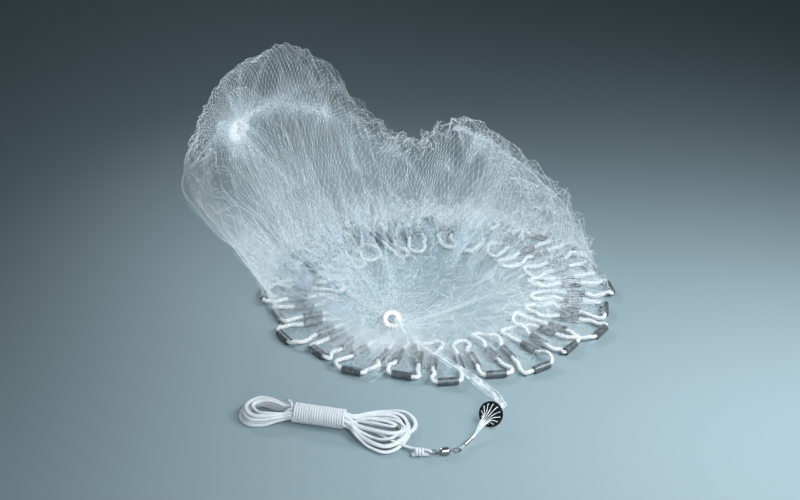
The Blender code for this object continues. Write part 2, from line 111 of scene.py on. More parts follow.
# Hand line --------------------------------------------------------------------------------------
# Soft white braided rope, flat when it isn't pulled. It is folded to and fro in sixteen runs, wrapped
# round its middle with its own turns, and its inner end is tied to the swivel.

HAND_LINE_WIDE = 0.0050
HAND_LINE_THICK = 0.0032
HANK_LEFT = Vector((-0.1225, -0.2100, 0.0))      # ends of the wrapped middle, on the floor
HANK_RIGHT = Vector((-0.0625, -0.2240, 0.0))
HANK_LEVEL = 0.0118
RUN_APART = 0.0039
WRAP_TURNS = 20
WRAP_REACH = 0.0104
WRAP_WIDE = 0.0031
WRAP_THICK = 0.0034
WRAP_STATIONS = 16                 # to each turn
WRAP_STARTS = 200                  # in degrees round the hank
WRAP_INSET = 0.01                  # of the wrapped middle, free at each of its ends
WRAP_EARLY, WRAP_EASE = 0.004, 0.016    # where the rope begins to lie flat for the wrap, and over how long
RUN_LEVELS = ((-2, 1), (-1, 2), (0, 2), (1, 2), (2, 1))    # in the wrap: level, and runs at each side
LEVEL_SHARE = 0.84                 # of the distance between runs, from level to level
ROPE_STEP_FINE = 0.0035            # between points of its curves
HAND_LINE_STEP = 0.0036            # between points of the finished rope
LOWEST_MIDDLE = 0.0025             # of the rope where it lies on the floor

TIE_TURNS = 2.4                    # of the tie's knot
TIE_POINTS = 44
TIE_FROM, TIE_TO = np.array([0.0262, -0.2756, 0.0049]), np.array([0.0180, -0.2742, 0.0044])
TIE_WIDE, TIE_HIGH = 0.0042, 0.0036
TIE_LOWEST = 0.0014
TIE_ROPE = (0.0034, 0.0026)        # width and thickness of the rope where the knot draws it tight
# Its way through the swivel's eye and from there to the hank, in metres.
TIE_ROUTE = (
    (0.0130, -0.2772, 0.0024), (0.0200, -0.2762, 0.0028), (0.0270, -0.2762, 0.0026),
    (0.0322, -0.2764, 0.0026), (0.0357, -0.2760, 0.0048), (0.0322, -0.2756, 0.0076),
    (0.0270, -0.2745, 0.0070), (0.0200, -0.2712, 0.0052), (0.0080, -0.2640, 0.0035),
    (-0.0080, -0.2545, 0.0040), (-0.0250, -0.2440, 0.0070), (-0.0430, -0.2340, 0.0090),
)

# Loops beyond the right end of the wrap, from the lowest up: how far they reach, how far the back and the
# front leg spread, and the heights of back leg, tip and front leg, in millimetres.
RIGHT_LOOPS = (
    # reach, back, front, back height, tip height, front height
    (74, 33, -37, 2.2, 2.2, 2.2),
    (69, 27, -27, 2.4, 2.6, 2.2),
    (64, 20, -17, 2.6, 3.0, 2.6),
    (79, 37, -9, 6.5, 5.0, 7.0),
    (73, 30, -31, 7.0, 6.4, 6.0),
    (66, 23, -22, 8.5, 8.0, 8.0),
    (70, 13, -13, 11.0, 10.0, 11.0),
    (60, 5, -4, 14.0, 12.5, 14.5),
)
# Loops beyond its left end, in the same way.
LEFT_LOOPS = (
    (64, 20, -22, 2.2, 2.2, 2.2),
    (58, 15, -17, 2.4, 2.4, 2.2),
    (62, 19, -20, 6.4, 5.8, 5.6),
    (55, 13, -14, 6.6, 6.4, 6.0),
    (60, 18, -21, 10.2, 9.6, 9.4),
    (53, 12, -15, 10.6, 10.2, 9.8),
    (57, 16, -18, 14.2, 13.4, 13.0),
    (49, 10, -12, 15.4, 15.0, 14.0),
)


def smooth_line(stations, step, closed=False):
    """Points on a smooth curve through the stations, about one step apart."""
    stations = np.asarray(stations, float)
    count = len(stations)
    parts = []
    for index in range(count if closed else count - 1):
        start, end = stations[index], stations[(index + 1) % count]
        before = stations[index - 1] if index or closed else start
        after = stations[(index + 2) % count] if index + 2 < count or closed else end
        pieces = max(1, round(np.linalg.norm(end - start) / step))
        t = (np.arange(pieces) / pieces)[:, None]
        leave, arrive = (end - before) / 2, (after - start) / 2
        parts.append(start * (2 * t**3 - 3 * t**2 + 1) + leave * (t**3 - 2 * t**2 + t)
                     + end * (3 * t**2 - 2 * t**3) + arrive * (t**3 - t**2))
    if not closed:
        parts.append(stations[-1:])
    return np.concatenate(parts)


def even_line(points, step, closed=False):
    """The same line with its points one step apart, and each point's distance along it."""
    points = np.asarray(points, float)
    if closed:
        points = np.concatenate([points, points[:1]])
    along = np.concatenate([[0.0], np.cumsum(np.linalg.norm(np.diff(points, axis=0), axis=1))])
    places = np.linspace(0.0, along[-1], max(2, round(along[-1] / step)), endpoint=not closed)
    return np.stack([np.interp(places, along, points[:, axis]) for axis in range(3)], axis=1), places


def unit(vectors):
    """The same directions, each one long."""
    return vectors / np.maximum(np.linalg.norm(vectors, axis=-1, keepdims=True), 1e-12)


def add_mesh(name, points, faces, finish, uvs=None, smooth=True):
    """Object at the origin with this mesh and finish. uvs has one pair for each face corner."""
    mesh = bpy.data.meshes.new(name)
    mesh.from_pydata(points, [], faces)
    if uvs is not None:
        layer = mesh.uv_layers.new(name="along")
        layer.data.foreach_set("uv", np.asarray(uvs, np.float32).ravel())
    if smooth:
        mesh.shade_smooth()
    mesh.materials.append(finish)
    piece = bpy.data.objects.new(name, mesh)
    scene.collection.objects.link(piece)
    return piece


def add_rope(name, points, wide_side, wide, thick, finish, sides=10, closed=False):
    """Rope of an oval section. wide_side is each point's direction of the wider axis; wide and thick are
    numbers or one value for each point. Its UV runs once round it and in metres along it."""
    points = np.asarray(points, float)
    count = len(points)
    if closed:
        ahead, behind = np.roll(points, -1, axis=0), np.roll(points, 1, axis=0)
    else:
        ahead = np.concatenate([points[1:], points[-1:]])
        behind = np.concatenate([points[:1], points[:-1]])
    along = unit(ahead - behind)
    across = np.broadcast_to(np.asarray(wide_side, float), points.shape)
    across = unit(across - along * (across * along).sum(1)[:, None])
    up = np.cross(along, across)
    half_wide = np.broadcast_to(np.asarray(wide, float) / 2, (count,))[:, None, None]
    half_thick = np.broadcast_to(np.asarray(thick, float) / 2, (count,))[:, None, None]
    turn = 2 * np.pi * np.arange(sides) / sides
    rings = (points[:, None] + across[:, None] * half_wide * np.cos(turn)[None, :, None]
             + up[:, None] * half_thick * np.sin(turn)[None, :, None])
    length = np.concatenate([[0.0], np.cumsum(np.linalg.norm(np.diff(points, axis=0), axis=1))])
    rows = np.arange(count if closed else count - 1)
    corner = np.arange(sides)
    here, there = rows[:, None] * sides, (rows[:, None] + 1) % count * sides
    next_corner = (corner + 1) % sides
    faces = np.stack([here + corner, here + next_corner, there + next_corner, there + corner], axis=2)
    end_length = np.append(length[1:], length[-1] + np.linalg.norm(points[0] - points[-1]))[rows]
    low = np.broadcast_to(length[rows][:, None], faces.shape[:2])
    high = np.broadcast_to(end_length[:, None], faces.shape[:2])
    left = np.broadcast_to(corner / sides, faces.shape[:2])
    right = left + 1 / sides
    uvs = np.stack([np.stack([left, low], 2), np.stack([right, low], 2),
                    np.stack([right, high], 2), np.stack([left, high], 2)], axis=2)
    all_faces = faces.reshape(-1, 4).tolist()
    all_points = rings.reshape(-1, 3)
    all_uvs = uvs.reshape(-1, 2)
    if not closed:
        last = (count - 1) * sides
        all_faces += [tuple(reversed(range(sides))), tuple(range(last, last + sides))]
        all_uvs = np.concatenate([all_uvs, np.zeros((2 * sides, 2))])
    return add_mesh(name, all_points, all_faces, finish, all_uvs)


def new_effect(name, inputs, outputs):
    """Empty shader node group with these sockets: (name, type, start value)."""
    group = bpy.data.node_groups.new(name, "ShaderNodeTree")
    for socket_name, kind, value in inputs:
        socket = group.interface.new_socket(name=socket_name, in_out="INPUT", socket_type=kind)
        if value is not None:
            socket.default_value = value
    for socket_name, kind in outputs:
        group.interface.new_socket(name=socket_name, in_out="OUTPUT", socket_type=kind)
    return group, group.nodes.new("NodeGroupInput"), group.nodes.new("NodeGroupOutput")


def math_node(tree, operation, first, second=None):
    """Math node whose inputs are sockets or numbers; returns its result."""
    node = tree.nodes.new("ShaderNodeMath")
    node.operation = operation
    for slot, value in enumerate((first, second)):
        if value is None:
            continue
        if isinstance(value, (int, float)):
            node.inputs[slot].default_value = value
        else:
            tree.links.new(value, node.inputs[slot])
    return node.outputs[0]


def make_braid_effect():
    """Braided cover of a rope: two sets of strands that cross, from the rope's UV. It puts out each
    strand's height and a mask of the gaps between them."""
    tree, given, result = new_effect(
        "braid",
        [("Strands round", "NodeSocketFloat", 8.0), ("Strands a metre", "NodeSocketFloat", 300.0)],
        [("Height", "NodeSocketFloat"), ("Gaps", "NodeSocketFloat")],
    )
    coordinates = tree.nodes.new("ShaderNodeTexCoord")
    parts = tree.nodes.new("ShaderNodeSeparateXYZ")
    tree.links.new(coordinates.outputs["UV"], parts.inputs[0])
    around = math_node(tree, "MULTIPLY", parts.outputs["X"], given.outputs["Strands round"])
    along = math_node(tree, "MULTIPLY", parts.outputs["Y"], given.outputs["Strands a metre"])
    waves = []
    for operation in ("ADD", "SUBTRACT"):
        slanted = math_node(tree, "MULTIPLY", math_node(tree, operation, around, along), math.pi)
        waves.append(math_node(tree, "ABSOLUTE", math_node(tree, "SINE", slanted)))
    product = math_node(tree, "MULTIPLY", waves[0], waves[1])
    height = math_node(tree, "POWER", product, 0.5)
    tree.links.new(height, result.inputs["Height"])
    tree.links.new(math_node(tree, "SUBTRACT", 1.0, height), result.inputs["Gaps"])
    return tree


braid_effect = make_braid_effect()


def rope_finish(name, light, gap_shade_and_soil_tone, strands_round, strands_a_metre, relief, roughness):
    """White braided fibre: strands with relief, painted shade in the gaps between them, and faint soiling
    along the rope.
    """
    finish, tree, shader = new_finish(name, roughness)
    braid = tree.nodes.new("ShaderNodeGroup")
    braid.node_tree = braid_effect
    braid.inputs["Strands round"].default_value = strands_round
    braid.inputs["Strands a metre"].default_value = strands_a_metre
    coordinates = tree.nodes.new("ShaderNodeTexCoord")
    soil = tree.nodes.new("ShaderNodeTexNoise")
    soil.inputs["Scale"].default_value = 34.0
    soil.inputs["Detail"].default_value = 3.0
    tree.links.new(coordinates.outputs["Object"], soil.inputs["Vector"])
    # Painted shade: the gaps between the braid's strands take the darker tone. The noise adds faint soiling
    # in the same tone.
    painted_gap_shade_and_soil = math_node(tree, "ADD", math_node(tree, "MULTIPLY", braid.outputs["Gaps"], 0.75),
                      math_node(tree, "MULTIPLY", soil.outputs["Fac"], 0.35))
    mix = tree.nodes.new("ShaderNodeMix")
    mix.data_type = "RGBA"
    mix.inputs["A"].default_value = (*light, 1.0)
    mix.inputs["B"].default_value = (*gap_shade_and_soil_tone, 1.0)
    tree.links.new(painted_gap_shade_and_soil, mix.inputs["Factor"])
    tree.links.new(mix.outputs["Result"], shader.inputs["Base Color"])
    bump = tree.nodes.new("ShaderNodeBump")
    bump.inputs["Strength"].default_value = 0.8
    bump.inputs["Distance"].default_value = relief
    tree.links.new(braid.outputs["Height"], bump.inputs["Height"])
    tree.links.new(bump.outputs["Normal"], shader.inputs["Normal"])
    shader.inputs["Sheen Weight"].default_value = 0.25
    shader.inputs["Subsurface Weight"].default_value = 0.12
    shader.inputs["Subsurface Radius"].default_value = (0.002, 0.002, 0.002)
    return finish


hand_line_white = rope_finish("hand line fibre", (0.78, 0.80, 0.82), (0.42, 0.48, 0.53),
                              6.0, 170.0, 0.0003, 0.62)


def hank_legs(loops, corner, outward, sideways):
    """For each loop, the points beyond the wrap's end: back leg, tip and front leg."""
    legs = []
    for reach, back, front, back_height, tip_height, front_height in loops:
        def place(share, spread, height):
            point = corner + outward * (reach * share * 0.001) + sideways * (spread * 0.001)
            return (point.x, point.y, height * 0.001)

        def leg(spread, height, height_at_wrap=11):
            return [place(0.22, spread * 0.52, (height + height_at_wrap) / 2),
                    place(0.50, spread * 0.88, height), place(0.76, spread, height)]

        middle, half = (back + front) / 2, (back - front) / 2
        tip = [place(0.93, middle + half * 0.62, tip_height), place(1.0, middle, tip_height),
               place(0.93, middle - half * 0.62, tip_height)]
        legs.append((leg(back, back_height), tip, leg(front, front_height)[::-1]))
    return legs


def hank_route():
    """Stations of the hand line from the swivel's eye, through the hank, to the end of the wrap."""
    outward = (HANK_RIGHT - HANK_LEFT).normalized()
    sideways = Vector((-outward.y, outward.x, 0.0))
    slots = {1: [], -1: []}
    for level, columns in RUN_LEVELS:
        for column in range(columns):
            for side in (1, -1):
                slots[side].append((side * RUN_APART * (column + 0.5), level * RUN_APART * LEVEL_SHARE))

    def waist(run, end):
        side = 1 if run % 2 else -1
        across, up = slots[side][run // 2]
        place = end + sideways * across
        return (place.x, place.y, HANK_LEVEL + up)

    right = hank_legs(RIGHT_LOOPS, HANK_RIGHT, outward, sideways)
    left = hank_legs(LEFT_LOOPS, HANK_LEFT, -outward, sideways)
    stations = list(TIE_ROUTE)
    for run in range(len(RIGHT_LOOPS) + len(LEFT_LOOPS)):
        ends = (HANK_RIGHT, HANK_LEFT) if run % 2 == 0 else (HANK_LEFT, HANK_RIGHT)
        stations += [waist(run, ends[0]), waist(run, (ends[0] + ends[1]) / 2), waist(run, ends[1])]
        if run % 2 == 0:
            back, tip, front = left[run // 2]
            stations += front[::-1] + tip[::-1] + back[::-1]
        else:
            back, tip, front = right[run // 2]
            stations += back + tip + front
    wrap_start = len(stations)
    for step in range(WRAP_TURNS * WRAP_STATIONS + 1):
        share = step / (WRAP_TURNS * WRAP_STATIONS)
        turn = math.radians(WRAP_STARTS) - 2 * math.pi * step / WRAP_STATIONS
        middle = HANK_RIGHT.lerp(HANK_LEFT, WRAP_INSET + (1 - 2 * WRAP_INSET) * share)
        place = middle + sideways * (WRAP_REACH * math.cos(turn))
        stations.append((place.x, place.y, HANK_LEVEL + WRAP_REACH * math.sin(turn)))
    last = HANK_LEFT - outward * 0.004 + sideways * 0.004
    stations.append((last.x, last.y, HANK_LEVEL + 0.0112))
    stations.append((last.x - 0.006, last.y + 0.002, HANK_LEVEL + 0.0118))
    return stations, wrap_start, outward


hank_stations, hank_wrap_start, hank_outward = hank_route()
hank_line, hank_along = even_line(smooth_line(hank_stations, ROPE_STEP_FINE), HAND_LINE_STEP)
hank_line[:, 2] = np.maximum(hank_line[:, 2], LOWEST_MIDDLE)
wrap_from = even_line(smooth_line(hank_stations[:hank_wrap_start], ROPE_STEP_FINE), HAND_LINE_STEP)[1][-1]
in_wrap = np.clip((hank_along - wrap_from + WRAP_EARLY) / WRAP_EASE, 0.0, 1.0)
# The flat rope rolls about its middle line on its way; in the wrap it lies flat.
hank_tilt = 0.9 * np.sin(hank_along * 23.0) + 0.5 * np.sin(hank_along * 61.0 + 1.0)
hank_line_ahead = unit(np.gradient(hank_line, axis=0))
hank_level_side = unit(np.cross([0.0, 0.0, 1.0], hank_line_ahead))
hank_side = (hank_level_side * np.cos(hank_tilt)[:, None]
             + np.cross(hank_line_ahead, hank_level_side) * np.sin(hank_tilt)[:, None])
hank_side = hank_side * (1 - in_wrap)[:, None] + np.array(hank_outward) * in_wrap[:, None]
hand_line = add_rope("hand_line", hank_line, hank_side,
                     HAND_LINE_WIDE + (WRAP_WIDE - HAND_LINE_WIDE) * in_wrap,
                     HAND_LINE_THICK + (WRAP_THICK - HAND_LINE_THICK) * in_wrap, hand_line_white)
knot_turn = np.linspace(0, 2 * np.pi * TIE_TURNS, TIE_POINTS)
knot_ahead = unit(TIE_TO - TIE_FROM)
knot_beside = unit(np.cross([0.0, 0.0, 1.0], knot_ahead))
knot_line = (TIE_FROM + (TIE_TO - TIE_FROM) * (knot_turn / knot_turn[-1])[:, None]
             + knot_beside * (TIE_WIDE * np.cos(knot_turn))[:, None]
             + np.cross(knot_ahead, knot_beside) * (TIE_HIGH * np.sin(knot_turn))[:, None])
knot_line[:, 2] = np.maximum(knot_line[:, 2], TIE_LOWEST)
hand_line_knot = add_rope("hand_line_knot", knot_line, knot_ahead, *TIE_ROPE, hand_line_white)
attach(hand_line_knot, "net")
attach(hand_line, "net")
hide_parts("hand_line_hank", "hand_line_end")


# Lead line ----------------------------------------------------------------------------------------
# White braided rope that runs round the whole rim of the net in loose loops. It is straight inside each
# sinker and lies on the floor between them.

ROPE_WIDE = 0.0052
ROPE_LOW = 0.0031
RING_MIDDLE = Vector((0.050, 0.068, 0.0))
RING_REACH = (0.231, 0.209)
SINKER_LENGTH = 0.025
SINKER_FLAT = 0.0049
ROPE_STRAIGHT = SINKER_LENGTH / 2 + 0.0015
ROPE_PULL = 1.25                   # how far a curve keeps on in the direction that it starts in
ROPE_STEP = 0.0085
ROPE_RIDGES = 0.0064               # apart, along the rope
RIDGE_HEIGHT = 0.05                # of the rope's width
LEG_FOOT, LEG_HEAD = 0.14, 0.10    # where a loop's side begins and ends, from its root and from its tip
LEAD_CURVE_STEP, LEAD_LINE_STEP = 0.0034, 0.0032
WANDER_ASIDE = 0.0072
WANDER_UP = 0.0080
UP = Vector((0.0, 0.0, 1.0))

# One row for each loop: angle and width of its tip in degrees, reach of the tip and of the turn after it
# as shares of the ring, and how far the tip is turned in degrees.
LOOPS = (
    # turn, span, reach, root, slant
    (2, 8.5, 0.99, 0.53, 6),
    (17, 8.0, 0.95, 0.57, -9),
    (32.5, 8.5, 1.00, 0.52, 4),
    (47, 7.5, 0.94, 0.56, 10),
    (62, 8.5, 0.99, 0.54, -6),
    (77.5, 8.0, 0.96, 0.58, 7),
    (92, 8.5, 1.00, 0.53, -3),
    (106.5, 8.0, 0.94, 0.51, 9),
    (122, 8.5, 1.00, 0.55, -7),
    (137.5, 8.0, 0.96, 0.53, 3),
    (152, 8.5, 1.00, 0.56, -8),
    (166.5, 8.0, 0.95, 0.53, 8),
    (182, 8.5, 0.99, 0.57, -4),
    (197.5, 8.0, 0.94, 0.54, 9),
    (212, 8.5, 1.00, 0.52, 0),
    (226.5, 8.0, 0.95, 0.58, -10),
    (242, 9.0, 1.00, 0.54, 6),
    (257.5, 8.0, 0.95, 0.56, -5),
    (272, 9.0, 0.99, 0.58, 5),
    (287.5, 8.0, 0.96, 0.53, -9),
    (302, 9.0, 1.00, 0.56, 3),
    (317.5, 8.0, 0.95, 0.52, 8),
    (332, 9.0, 1.00, 0.55, -6),
    (347, 8.0, 0.96, 0.55, 7),
)


def ring_point(share, degrees, height=0.0):
    """Place on the floor at a share of the ring's reach."""
    turn = math.radians(degrees)
    out = Vector((RING_REACH[0] * math.cos(turn), RING_REACH[1] * math.sin(turn), 0.0))
    return RING_MIDDLE + out * share + UP * height


def lead_line_places():
    """Middle and direction of each sinker along the rope, and of each turn at a loop's root."""
    sinkers = []
    roots = []
    for index, (turn, span, reach, root, slant) in enumerate(LOOPS):
        tip = ring_point(reach, turn, SINKER_FLAT)
        along = (ring_point(reach, turn + 1) - ring_point(reach, turn - 1)).normalized()
        along.rotate(Quaternion(UP, math.radians(slant)))
        sides = []
        for side, inner in ((-1, LOOPS[index - 1][3]), (1, root)):
            foot = ring_point(inner + LEG_FOOT, turn + side * span * 0.50 + slant / 9)
            head = ring_point(reach - LEG_HEAD, turn + side * span * 0.56)
            sides.append(((foot + head) / 2 + UP * SINKER_FLAT, (head - foot).normalized() * -side))
        sinkers += [sides[0], (tip, along), sides[1]]
        following, next_span = LOOPS[(index + 1) % len(LOOPS)][:2]
        middle_turn = (turn + span / 2 + following + 360 * (following < turn) - next_span / 2) / 2
        heading = (ring_point(root, middle_turn + 1) - ring_point(root, middle_turn - 1)).normalized()
        roots.append((ring_point(root, middle_turn, ROPE_LOW), heading, middle_turn))
    return sinkers, roots


def curved_run(start, leave, end, arrive):
    """Points on the smooth curve between two places, without its ends, and how free the rope is there."""
    stretch = (end - start).length
    pull = ROPE_PULL * stretch
    pieces = max(3, round(stretch / ROPE_STEP))
    run = []
    for piece in range(1, pieces):
        t = piece / pieces
        run.append((start * (2 * t**3 - 3 * t**2 + 1) + leave * pull * (t**3 - 2 * t**2 + t)
                    + end * (3 * t**2 - 2 * t**3) + arrive * pull * (t**3 - t**2), math.sin(math.pi * t)))
    return run


def lead_line_route():
    """The rope's middle line with each point's freedom, and the number of the point at each root."""
    route = []
    at_root = []
    for index, (middle, direction) in enumerate(sinker_places):
        following, heading = sinker_places[(index + 1) % len(sinker_places)]
        start = middle + direction * ROPE_STRAIGHT
        end = following - heading * ROPE_STRAIGHT
        route += [(middle - direction * ROPE_STRAIGHT, 0.0), (start, 0.0)]
        if index % 3 == 2:
            root, root_heading, _ = root_places[index // 3]
            route += curved_run(start, direction, root, root_heading)
            at_root.append(len(route))
            route.append((root, 0.9))
            route += curved_run(root, root_heading, end, heading)
        else:
            route += curved_run(start, direction, end, heading)
    return route, at_root


sinker_places, root_places = lead_line_places()
lead_route, root_points = lead_line_route()
lead_points = np.array([tuple(point) for point, _ in lead_route])
freedom = np.array([free for _, free in lead_route])


def wander(count, waves, seed):
    """Smooth random wave round a closed line, about -1 to 1."""
    chooser = np.random.default_rng(seed)
    turn = 2 * np.pi * np.arange(count) / count
    total = np.zeros(count)
    for wave in waves:
        total += chooser.uniform(0.5, 1.0) * np.cos(wave * turn + chooser.uniform(0, 2 * np.pi))
    return total / math.sqrt(len(waves))


lead_ahead = unit(np.roll(lead_points, -1, axis=0) - np.roll(lead_points, 1, axis=0))
lead_beside = unit(np.cross([0.0, 0.0, 1.0], lead_ahead))
count = len(lead_points)
lead_points += lead_beside * (freedom * WANDER_ASIDE * wander(count, (41, 61, 83, 97, 113), 3))[:, None]
lead_points[:, 2] += freedom * WANDER_UP * np.maximum(wander(count, (37, 53, 71, 89), 5), -0.1)
lead_points[:, 2] = np.maximum(lead_points[:, 2], ROPE_LOW - 0.0002)
lead_closed = np.concatenate([lead_points, lead_points[:1]])
lead_lengths = np.concatenate([[0.0], np.cumsum(np.linalg.norm(np.diff(lead_closed, axis=0), axis=1))])
lead_even, lead_along = even_line(smooth_line(lead_points, LEAD_CURVE_STEP, closed=True), LEAD_LINE_STEP,
                                  closed=True)
lead_ridges = 1 + RIDGE_HEIGHT * np.sin(2 * np.pi * lead_along / ROPE_RIDGES)
lead_rope_white = rope_finish("lead line fibre", (0.88, 0.90, 0.90), (0.45, 0.50, 0.52),
                              4.0, 190.0, 0.0007, 0.75)
lead_line_rope = add_rope("lead_line_rope", lead_even, (0.0, 0.0, 1.0), ROPE_WIDE * lead_ridges,
                          ROPE_WIDE * lead_ridges[::-1], lead_rope_white, sides=10, closed=True)
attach(lead_line_rope, "net")
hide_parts("lead_line")


# Sinkers ------------------------------------------------------------------------------------------
# Cast lead sleeves, dull grey, pressed on the lead line. Three to each loop, each turned a little
# differently about the rope, with rounded ends and a bore that the rope fills.

SINKER_SIDES = 16
SINKER_RIM = 0.0008                # width of the rounded rim at each end
SINKER_MOUTH = 0.0012              # width of the sloping mouth inside it
MOUTH_DEPTH = 0.80                 # height of the mouth's bottom, as a share of the sleeve's
RIM_DROP = 0.955                   # and of the rim's outer edge
SINKER_TWIST = 1.7                 # from one sinker to the next, in radians

bpy.ops.object.select_all(action="DESELECT")
bpy.ops.mesh.primitive_cylinder_add(vertices=SINKER_SIDES, radius=SINKER_FLAT, depth=SINKER_LENGTH,
                                    end_fill_type="NGON")
sinker = bpy.context.object
bpy.ops.object.mode_set(mode="EDIT")
bpy.ops.mesh.select_mode(type="FACE")
bpy.ops.mesh.select_all(action="DESELECT")
shape = bmesh.from_edit_mesh(sinker.data)
for face in shape.faces:
    face.select = abs(face.normal.z) > 0.9
bmesh.update_edit_mesh(sinker.data)
bpy.ops.mesh.inset(thickness=SINKER_RIM)
bpy.ops.mesh.inset(thickness=SINKER_MOUTH)
shape = bmesh.from_edit_mesh(sinker.data)
for face in shape.faces:
    if face.select:
        for vertex in face.verts:
            vertex.co.z *= MOUTH_DEPTH
for vertex in shape.verts:
    if abs(vertex.co.z) > SINKER_LENGTH * 0.48 and vertex.co.xy.length > SINKER_FLAT - SINKER_RIM / 2:
        vertex.co.z *= RIM_DROP
bmesh.update_edit_mesh(sinker.data)
bpy.ops.mesh.select_all(action="SELECT")
bpy.ops.object.mode_set(mode="OBJECT")
sinker_points = np.array([tuple(vertex.co) for vertex in sinker.data.vertices])
sinker_faces = [tuple(polygon.vertices) for polygon in sinker.data.polygons]
bpy.data.objects.remove(sinker)


def mottled_finish(name, scale, detail, tones, roughness=None, relief=None):
    """Finish with fine marks in two tones, each given as the marks' value there and its colour. The marks
    also spread the roughness between two values and make a relief of this strength and depth."""
    finish, tree, shader = new_finish(name)
    coordinates = tree.nodes.new("ShaderNodeTexCoord")
    marks = tree.nodes.new("ShaderNodeTexNoise")
    marks.inputs["Scale"].default_value = scale
    marks.inputs["Detail"].default_value = detail
    tree.links.new(coordinates.outputs["Object"], marks.inputs["Vector"])
    ramp = tree.nodes.new("ShaderNodeValToRGB")
    for stop, (position, colour) in zip(ramp.color_ramp.elements, tones):
        stop.position = position
        stop.color = (*colour, 1.0)
    tree.links.new(marks.outputs["Fac"], ramp.inputs["Fac"])
    tree.links.new(ramp.outputs["Color"], shader.inputs["Base Color"])
    if roughness:
        rough = tree.nodes.new("ShaderNodeMapRange")
        rough.inputs["To Min"].default_value, rough.inputs["To Max"].default_value = roughness
        tree.links.new(marks.outputs["Fac"], rough.inputs["Value"])
        tree.links.new(rough.outputs["Result"], shader.inputs["Roughness"])
    if relief:
        bump = tree.nodes.new("ShaderNodeBump")
        bump.inputs["Strength"].default_value, bump.inputs["Distance"].default_value = relief
        tree.links.new(marks.outputs["Fac"], bump.inputs["Height"])
        tree.links.new(bump.outputs["Normal"], shader.inputs["Normal"])
    return finish, shader


lead_grey, shader = mottled_finish("cast lead", 260.0, 4.0,
                                   ((0.30, (0.055, 0.068, 0.078)), (0.72, (0.19, 0.22, 0.235))),
                                   roughness=(0.30, 0.62), relief=(0.5, 0.0003))
shader.inputs["Metallic"].default_value = 0.55

all_points = []
all_faces = []
for number, (middle, direction) in enumerate(sinker_places):
    placed = (direction.to_track_quat("Z", "Y").to_matrix().to_4x4()
              @ Matrix.Rotation(SINKER_TWIST * number, 4, "Z"))
    all_points.append(sinker_points @ np.array(placed.to_3x3()).T + np.array(middle))
    all_faces += [tuple(len(sinker_points) * number + corner for corner in face) for face in sinker_faces]
sinkers = add_mesh("sinkers", np.concatenate(all_points), all_faces, lead_grey)
bpy.ops.object.select_all(action="DESELECT")
sinkers.select_set(True)
bpy.context.view_layer.objects.active = sinkers
bpy.ops.object.shade_smooth_by_angle(angle=math.radians(50))
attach(sinkers, "net")
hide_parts(*[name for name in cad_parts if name.startswith("sinker_")])


# Net ----------------------------------------------------------------------------------------------
# Round panel of knotted clear monofilament, 0.91 m from the horn to the lead line. The number of meshes
# doubles three times on the way out. It is heaped: drawn up in a dome with a pinch, bunched in front of
# it and low over the rest of the lead line, where its edge hangs from the rope.

NET_RADIUS = 0.914
BAR = 0.0080                       # from knot to knot
BAR_OUT_LEAST = 0.35               # share of it that is at least between one row of knots and the next
TWINE = 0.00032
KNOT = 0.00080
# Meshes round the horn, and the flat radii between which there are so many.
MESH_BANDS = ((56, 0.046, 0.107), (112, 0.107, 0.214), (224, 0.214, 0.430), (448, 0.430, NET_RADIUS))
HEM_SHARE = 0.93                   # of the ring's reach
HEM_HEIGHT = 0.0140
HEM_STEEPNESS = 7
HORN_MIDDLE = np.array([-0.010, -0.042, 0.031])
HORN_AXIS = np.array([0.0, -0.80, 0.60])
NECK_RADIUS = 0.0085
NECK_HALF = 0.0022                 # of its length
NECK_SHARE = 0.05                  # of the way to the hem
FLARE_SHARE = 0.20                 # of it, over which the net spreads from the neck
FLARE_BACK = 0.013
FLARE_OUT = 0.010
PLEATS = 16
PLEAT_DEPTH = 0.0055
PLEAT_FROM, PLEAT_OVER = 0.10, 0.30    # share of the way where they begin, and how far they take to grow
PINCH_MIDDLE = (-213, 142, 190)    # in millimetres; the net is gathered there before its folds
PINCH_REACH = 0.048
PINCH_CLOSING = 0.70

# Where the net is lifted or pushed out: middle and reach on the floor, and the shift of the middle, in
# millimetres.
SWELLS = (
    # name, x, y, reach_x, reach_y, dx, dy, dz
    ("dome", -85, 125, 115, 90, -95, 60, 245),
    ("puff over the gather", -95, 160, 60, 50, 20, 10, 62),
    ("slope to the horn", -90, 40, 60, 60, -80, 30, 70),
    ("right of the dome", -25, 170, 52, 60, 0, 10, 66),
    ("second hump", 97, 140, 66, 70, 0, 20, 174),
    ("right shoulder", 200, 130, 68, 80, 32, 10, 112),
    ("low middle", 90, 0, 100, 60, 0, 0, 12),
    ("left belly", -130, 50, 50, 65, -60, 0, 35),
    ("ear", -150, 100, 22, 35, -145, -10, -20),
)
